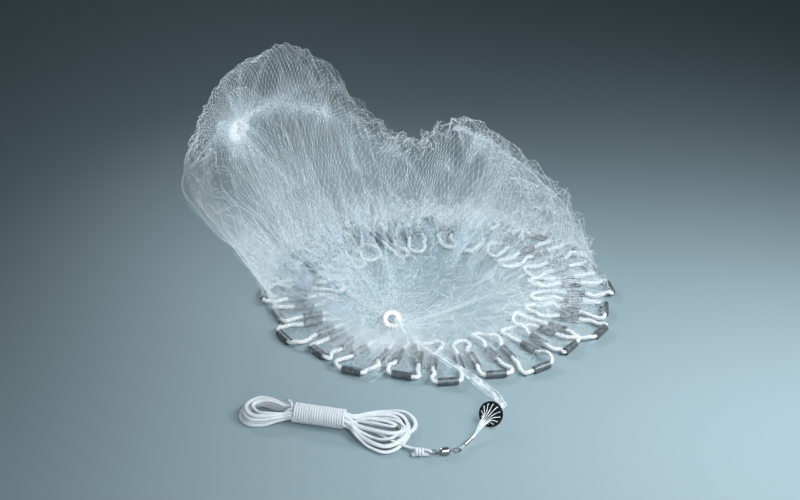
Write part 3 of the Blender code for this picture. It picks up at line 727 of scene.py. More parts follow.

# Where the net is drawn together along a fold: its reach, how far the net closes up, how much more haze
# its finest strands make there, and the places that the fold runs through. Reach and places are in
# millimetres.
# The pinch's and the roll's haze is high enough to turn the film white: partly the denser twine, partly a
# painted highlight.
FOLDS = (
    # name, reach, closing, haze, places
    ("pinch", 36, 0.82, 26, ((-209, 118, 208), (-209, 132, 208))),
    ("roll", 32, 0.74, 17, ((-205, 124, 216), (-185, 131, 232), (-160, 140, 240), (-130, 147, 237),
                            (-100, 152, 225))),
    ("end of the roll", 22, 0.65, 3, ((-100, 152, 225), (-72, 155, 206), (-60, 130, 172))),
    ("ray to the left", 10, 0.60, 4, ((-211, 130, 220), (-228, 150, 270))),
    ("ray up", 8, 0.60, 3, ((-208, 132, 225), (-205, 161, 280))),
    ("ray up, right", 9, 0.60, 3, ((-199, 135, 234), (-178, 170, 283))),
    ("second ray", 12, 0.65, 6, ((-195, 135, 233), (-129, 165, 256), (-78, 189, 245))),
    ("edge of the front", 12, 0.50, 1.5, ((-213, 105, 195), (-213, 58, 154), (-179, 28, 112))),
    ("first fold down", 14, 0.42, 1.5, ((-190, 106, 196), (-128, 80, 150), (-112, 62, 124),
                                        (-63, 26, 77), (-19, -14, 42))),
    ("second fold down", 14, 0.42, 1.5, ((-161, 122, 211), (-105, 74, 139))),
    ("third fold down", 14, 0.45, 1.5, ((-62, 129, 174), (-45, 101, 139))),
    ("low fold", 15, 0.42, 1.5, ((-152, 37, 115), (-88, 0, 63), (-27, -27, 35))),
    ("steep fold", 13, 0.42, 2, ((-19, 49, 78), (-6, -9, 41))),
    ("hump, left fold", 15, 0.50, 1.5, ((26, 87, 109), (72, 164, 209))),
    ("hump, middle fold", 14, 0.45, 1.2, ((65, 98, 126), (104, 143, 197))),
    ("hump, right fold", 16, 0.40, 0.8, ((117, 95, 127), (137, 119, 161))),
)

# How densely the net shows, past what its folds do: place and reach in millimetres, more or less of the
# haze of its finest strands, and more or less of the glint on the clear twine.
SHOWN = (
    # name, place, reach, haze, glint
    ("round the pinch", (-209, 120, 208), 30, 5.0, 0.4),
    ("top of the dome", (-150, 175, 285), 70, -0.90, 0.10),
    ("hollow under the roll", (-135, 120, 205), 30, -0.80, -0.25),
    ("ear", (-270, 100, 172), 50, -0.85, -0.40),
    ("left veil", (-250, 85, 125), 55, -0.90, -0.70),
    ("left veil, back", (-265, 125, 100), 70, -0.90, -0.70),
    ("left veil, low", (-220, 50, 60), 50, -0.80, -0.60),
    ("front of the dome", (-140, 50, 120), 60, 0.0, -0.28),
    ("foot of the dome", (-120, 5, 75), 50, 9.0, -0.35),
    ("left loops of the lead line", (-135, -50, 20), 65, -0.90, -0.60),
    ("middle", (-50, 55, 90), 60, 19.0, -0.25),
    ("behind the horn", (-5, 45, 68), 45, 14.0, -0.2),
    ("fan to the horn", (-40, 15, 58), 42, 11.0, 0.1),
    ("left of the horn", (-65, -10, 45), 42, 13.0, 0.0),
    ("round the horn", (-10, -35, 30), 22, 3.0, 0.3),
    ("by the horn, right", (30, -65, 25), 40, -0.85, -0.55),
    ("foot of the hump", (35, 70, 80), 50, 12.0, -0.2),
    ("foot of the hump, right", (95, 80, 85), 45, 5.0, -0.2),
    ("inside of the ring", (90, 20, 40), 65, -0.80, -0.40),
    ("right of the horn", (85, -50, 20), 65, -0.70, -0.50),
    ("in front of the horn", (30, -100, 25), 50, -0.85, -0.55),
    ("clear floor at the right", (150, -30, 20), 70, -0.60, -0.20),
    ("right shoulder", (210, 110, 90), 70, -0.80, -0.45),
)
FRONT_CLEAR = (0.92, 0.78)         # how far haze and glint go over the front loops of the lead line
FAR_WALL_CLEAR = 0.75              # and how far glint goes on the net's far side
GLINT, GLINT_LEAST = 0.90, 0.12
HAZE_LEAST, HAZE_MOST, FOLD_HAZE_MOST = 0.03, 19.0, 30.0
FOLD_HAZE_REACH = (0.35, 0.0025)   # of the fold's own reach, and this much more


def smooth_step(x):
    """From 0 to 1 with soft ends, as x goes from 0 to 1."""
    x = np.clip(x, 0.0, 1.0)
    return x * x * (3 - 2 * x)


# Where the net stands taut and smooth: place and reach in millimetres, and how much of its crumples goes.
CALM = (
    # name, place, reach, share
    ("top of the dome", (-160, 170, 270), 95, 0.90),
    ("right of the dome", (-70, 175, 230), 60, 0.70),
    ("hump", (97, 165, 180), 60, 0.70),
    ("left of the dome", (-250, 130, 200), 65, 0.85),
    ("upper left of the dome", (-225, 160, 250), 60, 0.90),
)


def near(points, place, reach):
    """1 at this place, given in millimetres, and falling off to 0 past its reach."""
    return np.exp(-((points - np.array(place) / 1000) ** 2).sum(-1) / reach**2)


def calmed(points):
    """Share of the crumples that is left at these points."""
    left = np.ones(points.shape[:-1])
    for _, place, reach, share in CALM:
        left = left * (1 - share * near(points, place, reach / 1000))
    return left


def nearest_on(points, places):
    """For each point, the nearest place on the straight runs between these, given in millimetres."""
    nearest, least = None, None
    places = np.array(places) / 1000
    for start, end in zip(places, places[1:]):
        run = end - start
        share = np.clip(((points - start) @ run) / (run @ run), 0.0, 1.0)
        place = start + share[..., None] * run
        far = ((points - place) ** 2).sum(-1)
        nearest = place if nearest is None else np.where((far < least)[..., None], place, nearest)
        least = far if least is None else np.minimum(far, least)
    return nearest


def drawn_together(points):
    """Points with the net's folds applied."""
    for _, reach, closing, _, places in FOLDS:
        middle = nearest_on(points, places)
        apart = points - middle
        pull = closing * np.exp(-(apart**2).sum(-1) / (reach / 1000) ** 2)
        points = middle + apart * (1 - pull)[..., None]
    return points


def shown_at(points):
    """How much haze and how much glint the net has at these points."""
    haze, glint = np.ones(points.shape[:-1]), np.full(points.shape[:-1], GLINT)
    for _, place, reach, more_haze, more_glint in SHOWN:
        share = near(points, place, reach / 1000)
        haze += more_haze * share
        glint += more_glint * share
    haze = np.clip(haze, HAZE_LEAST, HAZE_MOST)
    for _, reach, _, more_haze, places in FOLDS:
        apart = points - nearest_on(points, places)
        haze_reach = FOLD_HAZE_REACH[0] * reach / 1000 + FOLD_HAZE_REACH[1]
        haze += more_haze * np.exp(-(apart**2).sum(-1) / haze_reach**2)
    x, y, height = points[..., 0], points[..., 1], points[..., 2]
    # Over the front loops: far out on the ring, at its front and low.
    ring_share = np.hypot((x - RING_MIDDLE.x) / RING_REACH[0], (y - RING_MIDDLE.y) / RING_REACH[1])
    front = smooth_step((ring_share - 0.55) / 0.20) * smooth_step((0.06 - y) / 0.08)
    front = front * smooth_step((0.09 - height) / 0.04)
    haze = haze * (1 - FRONT_CLEAR[0] * front)
    glint = glint * (1 - FRONT_CLEAR[1] * front)
    # The far side: at the back, and off the floor.
    far_wall = smooth_step((y - 0.165) / 0.03) * smooth_step((height - 0.03) / 0.05)
    glint = glint * (1 - FAR_WALL_CLEAR * far_wall)
    return np.clip(haze, HAZE_LEAST, FOLD_HAZE_MOST), np.clip(glint, GLINT_LEAST, 1.0)


def panel_point(share, turn):
    """Smooth form of the net at a share of the way from the horn to the hem."""
    hem = np.stack([RING_MIDDLE.x + RING_REACH[0] * HEM_SHARE * np.cos(turn),
                    RING_MIDDLE.y + RING_REACH[1] * HEM_SHARE * np.sin(turn),
                    np.full_like(turn, HEM_HEIGHT)], axis=-1)
    middle = np.array([HORN_MIDDLE[0], HORN_MIDDLE[1], HEM_HEIGHT])
    flat = middle + (hem - middle) * share[..., None]
    shift = np.zeros_like(flat)
    for _, *numbers in SWELLS:
        x, y, reach_x, reach_y, dx, dy, dz = np.array(numbers) / 1000
        far = ((flat[..., 0] - x) / reach_x) ** 2 + ((flat[..., 1] - y) / reach_y) ** 2
        shift += np.array([dx, dy, dz]) * np.exp(-far)[..., None]
    point = flat + shift * (1 - share**HEM_STEEPNESS)[..., None]
    closing = PINCH_CLOSING * near(point, PINCH_MIDDLE, PINCH_REACH)
    point = point - (point - np.array(PINCH_MIDDLE) / 1000) * closing[..., None]
    across = np.array([1.0, 0.0, 0.0])
    outward = (across * np.cos(turn)[..., None]
               + np.cross(HORN_AXIS, across) * np.sin(turn)[..., None])
    on_neck = np.minimum(share / NECK_SHARE, 1.0)
    flare = np.maximum(share - NECK_SHARE, 0.0) / FLARE_SHARE
    back = NECK_HALF * (1 - 2 * on_neck) - FLARE_BACK * flare
    neck = (HORN_MIDDLE + HORN_AXIS * back[..., None]
            + outward * (NECK_RADIUS + FLARE_OUT * flare)[..., None])
    return neck + (point - neck) * smooth_step(flare)[..., None]


def panel_normal(share, turn):
    """Which way the smooth form faces there."""
    small = 0.004
    further, nearer = np.minimum(share + small, 1.0), np.maximum(share - small, 0.0)
    outward = panel_point(further, turn) - panel_point(nearer, turn)
    around = panel_point(share, turn + small) - panel_point(share, turn - small)
    return unit(np.cross(outward, around))


# How the flat net spreads over the heap. Crowding round the horn says how many meshes lie at each turn,
# and crowding along a line how its real length spreads over the drawn one.
CROWDED_TURNS = (
    # turn, width, meshes more or less than elsewhere
    (150, 36, 0.90),
    (225, 30, 0.30),
    (80, 24, 0.40),
)
EVEN_LENGTH = 0.42                 # of a line from horn to hem, for an even spread along it
SPREAD_POWERS = (0.60, 1.15)       # least and most
line_turns = np.radians(np.arange(0, 361, 2))
crowding = np.ones_like(line_turns)
for middle_turn, width, more in CROWDED_TURNS:
    apart = (np.degrees(line_turns) - middle_turn + 180) % 360 - 180
    crowding += more * np.exp(-(apart / width) ** 2)
flat_turns = np.concatenate([[0.0], np.cumsum((crowding[1:] + crowding[:-1]) / 2)])
flat_turns *= 2 * np.pi / flat_turns[-1]
line_shares = np.linspace(0.0, 1.0, 120)
lines = panel_point(*np.meshgrid(line_shares, line_turns, indexing="ij"))
line_lengths = np.linalg.norm(np.diff(lines, axis=0), axis=2).sum(0)
line_powers = np.clip(line_lengths / EVEN_LENGTH, *SPREAD_POWERS)
rim_turns = np.radians([middle_turn for _, _, middle_turn in root_places])
rim_lengths = lead_lengths[np.array(root_points)]


def rim_point(turn):
    """Place on the lead line where the net's edge is tied at this turn."""
    turns = np.concatenate([rim_turns[-1:] - 2 * np.pi, rim_turns, rim_turns[:1] + 2 * np.pi])
    lengths = np.concatenate([rim_lengths[-1:] - lead_lengths[-1], rim_lengths,
                              rim_lengths[:1] + lead_lengths[-1]])
    length = np.interp((turn - turns[1]) % (2 * np.pi) + turns[1], turns, lengths) % lead_lengths[-1]
    return np.stack([np.interp(length, lead_lengths, lead_closed[:, axis]) for axis in range(3)], axis=-1)


def waves_field(seed, wavelengths, count):
    """Random smooth field on the flat net, as a function of its flat x and y, with values of about 1."""
    chooser = np.random.default_rng(seed)
    angles = chooser.uniform(0, 2 * np.pi, count)
    numbers = 2 * np.pi / chooser.uniform(*wavelengths, count)
    phases = chooser.uniform(0, 2 * np.pi, count)

    def field(x, y):
        total = np.zeros_like(x)
        for angle, number, phase in zip(angles, numbers, phases):
            total += np.cos(number * (x * math.cos(angle) + y * math.sin(angle)) + phase)
        return 1.4 * np.tanh(total * math.sqrt(2 / count) / 1.4)
    return field


def pleat_field(seed, counts, number):
    """Random pleats that run out from the horn, as a function of the turn and the flat radius."""
    chooser = np.random.default_rng(seed)
    waves = [(chooser.integers(*counts), chooser.uniform(-14, 14), chooser.uniform(0, 2 * np.pi))
             for _ in range(number)]

    def field(turn, radius):
        total = np.zeros_like(turn)
        for wave, lean, phase in waves:
            total += np.cos(wave * turn + lean * radius + phase)
        return 1.4 * np.tanh(total * math.sqrt(2 / number) / 1.4)
    return field


CRUMPLE_LIFT = 0.0090              # across the net
PLEAT_LIFT = 0.0050
CRUMPLE_SHAKE = 0.0082             # any way
CRUMPLE_MORE = 1.12
CRUMPLE_FROM, CRUMPLE_OVER = 0.05, 0.15    # flat radius where they begin, and how far they take to grow
RIM_CALM, RIM_CALM_FROM = 0.92, 0.86       # how much of them goes at the lead line, and from which radius
TAUT = 1.25                        # how far a slack mesh can be drawn out, as a share of its flat length
crumple_normal = waves_field(11, (0.024, 0.042), 18)
crumple_shakes = [waves_field(seed, (0.026, 0.050), 14) for seed in (12, 13, 14)]
slack_field = waves_field(15, (0.16, 0.34), 10)
pleats = pleat_field(16, (26, 76), 12)


# The net reaches the edge of the heap before its own edge: there it turns, runs back under itself and out
# again to the lead line.
CROWDED_TO, EVEN_AFTER = 0.50, 0.40    # flat radius where the crowding begins to go, and how far it takes
TURN_LEAST, TURN_MOST = 0.40, 0.69     # flat radius of the turn
TURN_OVER = 0.06                       # and how far the net takes to lie below the upper layer
TUCK_SHARE = 0.48                  # of what is left of the net past the turn
TUCK_MOST = 0.85
TUCK_UNEVEN = 0.18
TUCK_INNER = 0.12                  # share of the way from horn to hem that it stays out of
TUCK_UNDER = (0.003, 0.016)        # how far below the upper layer it lies, at the turn and further in
RIM_FROM = 0.80                    # flat radius from which the net runs to the lead line
RIM_ABOVE = 0.0030                 # the lead line's middle
LOWEST = 0.0005                    # above the floor; points below it are turned up, over a soft edge
LOWEST_SOFT = 0.0002
TUCK_CLEAR = 0.72                  # how far the glint goes in the tucked layers


def evened(values, reach):
    """Values round the horn, each the mean of those within reach steps of it."""
    ring = np.concatenate([values[-reach - 1:-1], values, values[1:reach + 1]])
    return np.convolve(ring, np.ones(2 * reach + 1) / (2 * reach + 1), "valid")


line_turn_radii = evened(np.clip(0.03 + 1.02 * line_lengths, TURN_LEAST, TURN_MOST), 12)
line_tucks = evened(np.clip(TUCK_SHARE * (NET_RADIUS - line_turn_radii) / line_lengths, 0.0, TUCK_MOST), 12)


def heap_turn(radius, flat_turn):
    """Turn in the heap of a point of the flat net: crowded near the horn, even at the lead line."""
    even_turn = flat_turn % (2 * np.pi)
    crowded_turn = np.interp(even_turn, flat_turns, line_turns)
    return crowded_turn + (even_turn - crowded_turn) * smooth_step((radius - CROWDED_TO) / EVEN_AFTER)


def in_tuck(radius, turn):
    """How far the net is tucked back under itself: 0 at the heap's edge and at the lead line, 1 between."""
    turned = np.interp(turn, line_turns, line_turn_radii)
    return np.sin(np.pi * np.clip((radius - turned) / (NET_RADIUS - turned), 0.0, 1.0)) ** 1.5


def spread_place(radius, flat_turn):
    """Where a point of the flat net lies in the heap, without its crumples."""
    turn = heap_turn(radius, flat_turn)
    power = np.interp(turn, line_turns, line_powers)
    turned = np.interp(turn, line_turns, line_turn_radii)
    share = 1 - (1 - np.clip(radius / turned, 0.0, 1.0)) ** power
    tuck = in_tuck(radius, turn)
    waver = (np.sin(3 * turn + 0.6) + 0.8 * np.sin(7 * turn + 2.0)
             + 0.7 * np.sin(12 * turn) + np.sin(29 * turn))
    tucked = share - np.interp(turn, line_turns, line_tucks) * (1 + TUCK_UNEVEN * waver) * tuck
    share = np.where(tuck > 0, np.clip(tucked, TUCK_INNER, 1.0), share)
    point = panel_point(share, turn)
    rows = 0.5 + 0.5 * np.cos(PLEATS * turn + 1.3 * np.sin(3 * turn) + 0.8 * np.sin(5 * turn + 1))
    lift = PLEAT_DEPTH * smooth_step((share - PLEAT_FROM) / PLEAT_OVER) * rows
    turned_back = smooth_step((radius - turned) / TURN_OVER)
    lift = lift - turned_back * (TUCK_UNDER[0] + (TUCK_UNDER[1] - TUCK_UNDER[0]) * tuck)
    point = point + panel_normal(share, turn) * lift[..., None]
    to_rim = smooth_step((radius - RIM_FROM) / (NET_RADIUS - RIM_FROM))
    rim = rim_point(turn) + np.array([0.0, 0.0, RIM_ABOVE])
    return point + (rim - point) * to_rim[..., None]


def net_place(radius, flat_turn):
    """Where the point of the flat net at this radius and turn lies in the heap, with its crumples, which
    are the deeper the more the net is slack there."""
    small = 0.003
    point = spread_place(radius, flat_turn)
    outward = ((spread_place(radius + small, flat_turn) - spread_place(radius - small, flat_turn))
               / (2 * small))
    around = ((spread_place(radius, flat_turn + small) - spread_place(radius, flat_turn - small))
              / (2 * small * radius[..., None]))
    normal = unit(np.cross(outward, around))
    drawn = np.linalg.norm(outward, axis=-1) / TAUT
    slack = np.sqrt(np.clip(1 - drawn**2, 0.02, 1.0))
    flat_x, flat_y = radius * np.cos(flat_turn), radius * np.sin(flat_turn)
    loose = (slack * smooth_step((radius - CRUMPLE_FROM) / CRUMPLE_OVER)
             * (0.85 + 0.30 * slack_field(flat_x, flat_y)))
    loose = loose * CRUMPLE_MORE
    at_rim = smooth_step((radius - RIM_CALM_FROM) / (NET_RADIUS - RIM_CALM_FROM))
    loose = loose * (1 - RIM_CALM * at_rim) * calmed(point)
    lift = CRUMPLE_LIFT * crumple_normal(flat_x, flat_y) + PLEAT_LIFT * pleats(flat_turn, radius)
    shake = np.stack([field(flat_x, flat_y) for field in crumple_shakes], axis=-1)
    point = point + normal * (loose * lift)[..., None] + shake * (CRUMPLE_SHAKE * loose)[..., None]
    point = drawn_together(point)
    point[..., 2] = LOWEST + np.sqrt((point[..., 2] - LOWEST) ** 2 + LOWEST_SOFT**2)
    return point


def knot_rows():
    """Rows of knots from the horn to the lead line: flat radius, number of meshes and the row's offset."""
    rows = []
    radius, offset = MESH_BANDS[0][1], 0.0
    for meshes, start, end in MESH_BANDS:
        while radius < end:
            rows.append((radius, meshes, offset))
            half_mesh = math.pi * radius / meshes
            radius += math.sqrt(max(BAR**2 - half_mesh**2, (BAR_OUT_LEAST * BAR) ** 2))
            offset = 0.5 - offset
        if meshes < MESH_BANDS[-1][0]:
            offset = 0.5
    return rows


def netting():
    """Knots' places and the pairs of knots that each bar joins."""
    rows = knot_rows()
    radii, turns, starts = [], [], []
    total = 0
    for radius, meshes, offset in rows:
        starts.append(total)
        turns.append(2 * np.pi * (np.arange(meshes) + offset) / meshes)
        radii.append(np.full(meshes, radius))
        total += meshes
    bars = []
    for row in range(len(rows) - 1):
        meshes, offset = rows[row][1:]
        more_meshes, next_offset = rows[row + 1][1:]
        number = np.arange(meshes)
        if more_meshes == meshes:
            if offset > next_offset:
                left, right = number, (number + 1) % meshes
            else:
                left, right = (number - 1) % meshes, number
        else:
            base = 2 * (number + offset) - next_offset
            left = np.floor(base).astype(int) % more_meshes
            right = (left + 1) % more_meshes
        bars.append(np.stack([starts[row] + number, starts[row + 1] + left], axis=1))
        bars.append(np.stack([starts[row] + number, starts[row + 1] + right], axis=1))
    radii, turns = np.concatenate(radii), np.concatenate(turns)
    return net_place(radii, turns), np.concatenate(bars), radii, turns


def add_value(piece, name, values):
    """One number for each point of the piece, for its material to read."""
    layer = piece.data.attributes.new(name, "FLOAT", "POINT")
    layer.data.foreach_set("value", np.asarray(values, np.float32))


def add_netting(name, knots, bars, at_knots, finish):
    """Bars as thin three-sided rods and knots as small four-sided beads, in one mesh."""
    start, end = knots[bars[:, 0]], knots[bars[:, 1]]
    along = unit(end - start)
    helper = np.where(np.abs(along[:, 2:]) > 0.8, [[1.0, 0.0, 0.0]], [[0.0, 0.0, 1.0]])
    side = unit(np.cross(along, helper))
    up = np.cross(side, along)
    turns = 2 * np.pi * np.arange(3) / 3
    ring = (side[:, None] * np.cos(turns)[None, :, None]
            + up[:, None] * np.sin(turns)[None, :, None]) * TWINE / 2
    rods = np.concatenate([start[:, None] + ring, end[:, None] + ring], axis=1).reshape(-1, 3)
    first = np.arange(len(bars))[:, None] * 6     # a rod has six points, a bead four
    rod_faces = np.concatenate([first + [1, 0, 3, 4], first + [2, 1, 4, 5], first + [0, 2, 5, 3]])
    beads = np.array([[1, 1, 1], [1, -1, -1], [-1, 1, -1], [-1, -1, 1]]) * (KNOT / math.sqrt(3))
    bead_points = (knots[at_knots][:, None] + beads).reshape(-1, 3)
    first = len(rods) + np.arange(len(at_knots))[:, None] * 4
    bead_faces = np.concatenate([first + [0, 1, 2], first + [0, 3, 1],
                                 first + [0, 2, 3], first + [1, 3, 2]])
    piece = add_mesh(name, np.concatenate([rods, bead_points]),
                     rod_faces.tolist() + bead_faces.tolist(), finish)
    inner = in_tuck(knot_radii, heap_turn(knot_radii, knot_turns)) ** 0.5
    glint = shown_at(knots)[1] * (1 - TUCK_CLEAR * inner)
    add_value(piece, "glint", np.concatenate([np.repeat(glint[bars[:, 0]], 6),
                                              np.repeat(glint[at_knots], 4)]))
    piece.visible_shadow = False
    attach(piece, "net")
    return piece


def strand_finish(name, scale, detail, tones, roughness):
    """Clear nylon that shows only by its glints: the value called glint says how much."""
    finish, shader = mottled_finish(name, scale, detail, tones)
    tree = finish.node_tree
    seen = tree.nodes.new("ShaderNodeAttribute")
    seen.attribute_name = "glint"
    tree.links.new(seen.outputs["Fac"], shader.inputs["Alpha"])
    shader.inputs["Roughness"].default_value = roughness
    shader.inputs["IOR"].default_value = 1.53
    return finish


monofilament = strand_finish("clear monofilament", 420.0, 1.0,
                             ((0.35, (0.46, 0.54, 0.58)), (0.60, (0.90, 0.95, 0.97))), 0.24)

haze, tree, shader = new_finish("netting haze", roughness=0.6)
coordinates = tree.nodes.new("ShaderNodeTexCoord")
cloud = tree.nodes.new("ShaderNodeTexNoise")
cloud.inputs["Scale"].default_value = 260.0
cloud.inputs["Detail"].default_value = 4.0
tree.links.new(coordinates.outputs["Object"], cloud.inputs["Vector"])
thin = tree.nodes.new("ShaderNodeMapRange")
thin.inputs["From Min"].default_value = 0.3
thin.inputs["From Max"].default_value = 0.7
thin.inputs["To Min"].default_value = 0.005
thin.inputs["To Max"].default_value = 0.032
tree.links.new(cloud.outputs["Fac"], thin.inputs["Value"])
closeness = tree.nodes.new("ShaderNodeAttribute")
closeness.attribute_name = "closeness"
veil = math_node(tree, "MULTIPLY", thin.outputs["Result"], closeness.outputs["Fac"])
tree.links.new(math_node(tree, "MINIMUM", veil, 0.80), shader.inputs["Alpha"])
# Where the net lies closest, at the pinch and the roll, the film turns from blue-grey to white: partly the
# denser twine, partly a painted highlight.
gathered = tree.nodes.new("ShaderNodeMapRange")
gathered.inputs["From Min"].default_value = 40.0
gathered.inputs["From Max"].default_value = 58.0
tree.links.new(closeness.outputs["Fac"], gathered.inputs["Value"])
denser_white_and_painted_highlight = tree.nodes.new("ShaderNodeMix")
denser_white_and_painted_highlight.data_type = "RGBA"
denser_white_and_painted_highlight.inputs["A"].default_value = (0.42, 0.52, 0.58, 1.0)
denser_white_and_painted_highlight.inputs["B"].default_value = (0.88, 0.93, 0.96, 1.0)
tree.links.new(gathered.outputs["Result"], denser_white_and_painted_highlight.inputs["Factor"])
tree.links.new(denser_white_and_painted_highlight.outputs["Result"], shader.inputs["Base Color"])
shader.inputs["Specular IOR Level"].default_value = 0.1

knots, bars, knot_radii, knot_turns = netting()
bar_radii = knot_radii[bars[:, 0]]
for name, low, high in (
    # name, and the flat radii that it lies between
    ("netting_crown", 0.0, 0.465), ("netting_middle", 0.465, 0.630),
    ("netting_skirt", 0.630, 0.780), ("netting_edge", 0.780, 1.0),
):
    add_netting(name, knots, bars[(bar_radii >= low) & (bar_radii < high)],
                                  np.nonzero((knot_radii >= low) & (knot_radii < high))[0], monofilament)

# The finest strands as one sheet along the net, less clear where the net lies closer, and whiter where it
# lies closest, partly from the denser twine and partly as a painted highlight.
FILM_AROUND = 420
FILM_ROWS = 108
FILM_SPREAD = (0.5, 3.0)           # least and most that its closeness reckons with
film_radii = np.concatenate([[MESH_BANDS[0][1]], np.linspace(0.06, NET_RADIUS, FILM_ROWS)])
film_turns = 2 * np.pi * np.arange(FILM_AROUND) / FILM_AROUND
film_grid = net_place(*np.meshgrid(film_radii, film_turns, indexing="ij"))
film_out = np.gradient(film_grid, film_radii, axis=0)
film_round = (np.roll(film_grid, -1, axis=1) - np.roll(film_grid, 1, axis=1)) * FILM_AROUND / (4 * np.pi)
film_spread = np.linalg.norm(np.cross(film_out, film_round), axis=-1) / film_radii[:, None]
film_spread = (film_spread + np.roll(film_spread, 1, axis=1) + np.roll(film_spread, -1, axis=1)) / 3
film_closeness = shown_at(film_grid)[0] / np.clip(film_spread, *FILM_SPREAD)
film_points = film_grid.reshape(-1, 3)
inner, columns = np.meshgrid(np.arange(len(film_radii) - 1) * FILM_AROUND, np.arange(FILM_AROUND),
                             indexing="ij")
following = (columns + 1) % FILM_AROUND
outer = inner + FILM_AROUND
film_faces = np.stack([inner + columns, outer + columns, outer + following, inner + following], axis=2)
net_haze = add_mesh("net_haze", film_points, film_faces.reshape(-1, 4).tolist(), haze)
add_value(net_haze, "closeness", film_closeness.ravel())
net_haze.visible_shadow = False
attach(net_haze, "net")
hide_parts("net_panel")


# Braille lines ------------------------------------------------------------------------------------
# Twelve lines of thick clear monofilament. Each runs from the crimp through its own hole in the disc and
# down through the horn, and lies slack under the net as far as the lead line, where it is tied.

BRAILLE_LINE = 0.0008
DISC_MIDDLE = Vector((0.1047, -0.2159, 0.0136))
DISC_FACING = Vector((-0.45, -0.75, 0.48)).normalized()
DISC_HOLES = 12
DISC_HOLE_CIRCLE = 0.0116
CRIMP_START = Vector((0.0810, -0.2510, 0.0056))
CRIMP_END = Vector((0.0727, -0.2617, 0.0044))
CRIMP_ALONG = (CRIMP_END - CRIMP_START).normalized()
CRIMP_PACKED = 0.0005              # from the middle of the crimp to the lines in it
FACE_GATHER, FACE_OFF = 0.45, 0.0040    # where a line meets the disc's face: share of the way to its hole
HOLE_FRONT, HOLE_BACK = 0.0020, 0.0030
BIGHT_LINES = 2                    # these go on from the crimp and round the wire of the swivel's eye
BUNDLE_ROUTE = (
    Vector((-0.0070, -0.0500, 0.0365)),
    Vector((0.0010, -0.0610, 0.0350)),
    Vector((0.0160, -0.0770, 0.0270)),
    Vector((0.0367, -0.0990, 0.0225)),
    Vector((0.0605, -0.1235, 0.0215)),
    Vector((0.0834, -0.1484, 0.0190)),
    Vector((0.1010, -0.1660, 0.0150)),
    Vector((0.1140, -0.1810, 0.0105)),
    Vector((0.1180, -0.1940, 0.0080)),
)
BUNDLE_SPREAD = (3.0, 4.0, 5.0, 5.5, 6.0, 7.0, 8.0, 7.5, 6.5)    # at each of its points, in mm
BUNDLE_FLAT = 0.35                 # its height as a share of its width, outside the horn
BRAILLE_LENGTH = 1.02              # from the crimp to the lead line
BRAILLE_STEP = 0.0030              # between points of the finished line
BRAILLE_SIDES = 6
BEND_APART = 0.026                 # between the bends of its slack, under the net
BENDS_LEAST = 4
SWING_MOST = 0.105                 # of a bend, to each side
SWING_NEAR = 0.0001                # the search for the swing that gives the length ends at this
SWING_UNEVEN = 0.22
SLACK_LOW, SLACK_RISE, SLACK_UNEVEN = 0.0045, 0.0080, 0.0020
ROOT_ABOVE = 0.0022                # its end, above the lead line's middle
BEND_ROUNDING = 8                  # how often the slack is evened out, so that no bend is a kink
BEND = (                           # round form of one bend: share of the way past it, share of its swing
    (-0.42, 0.45), (-0.34, 0.86), (-0.15, 1.0), (0.15, 1.0), (0.34, 0.86), (0.42, 0.45),
)
GLINT_UNDER, GLINT_OVER, GLINT_FREE = 0.20, 0.50, 1.00    # under the net, over its hem, and past it
PAST_HEM = -0.150

line_finish = strand_finish("thick monofilament", 160.0, 2.0,
                            ((0.38, (0.55, 0.63, 0.67)), (0.60, (0.92, 0.96, 0.98))), 0.22)

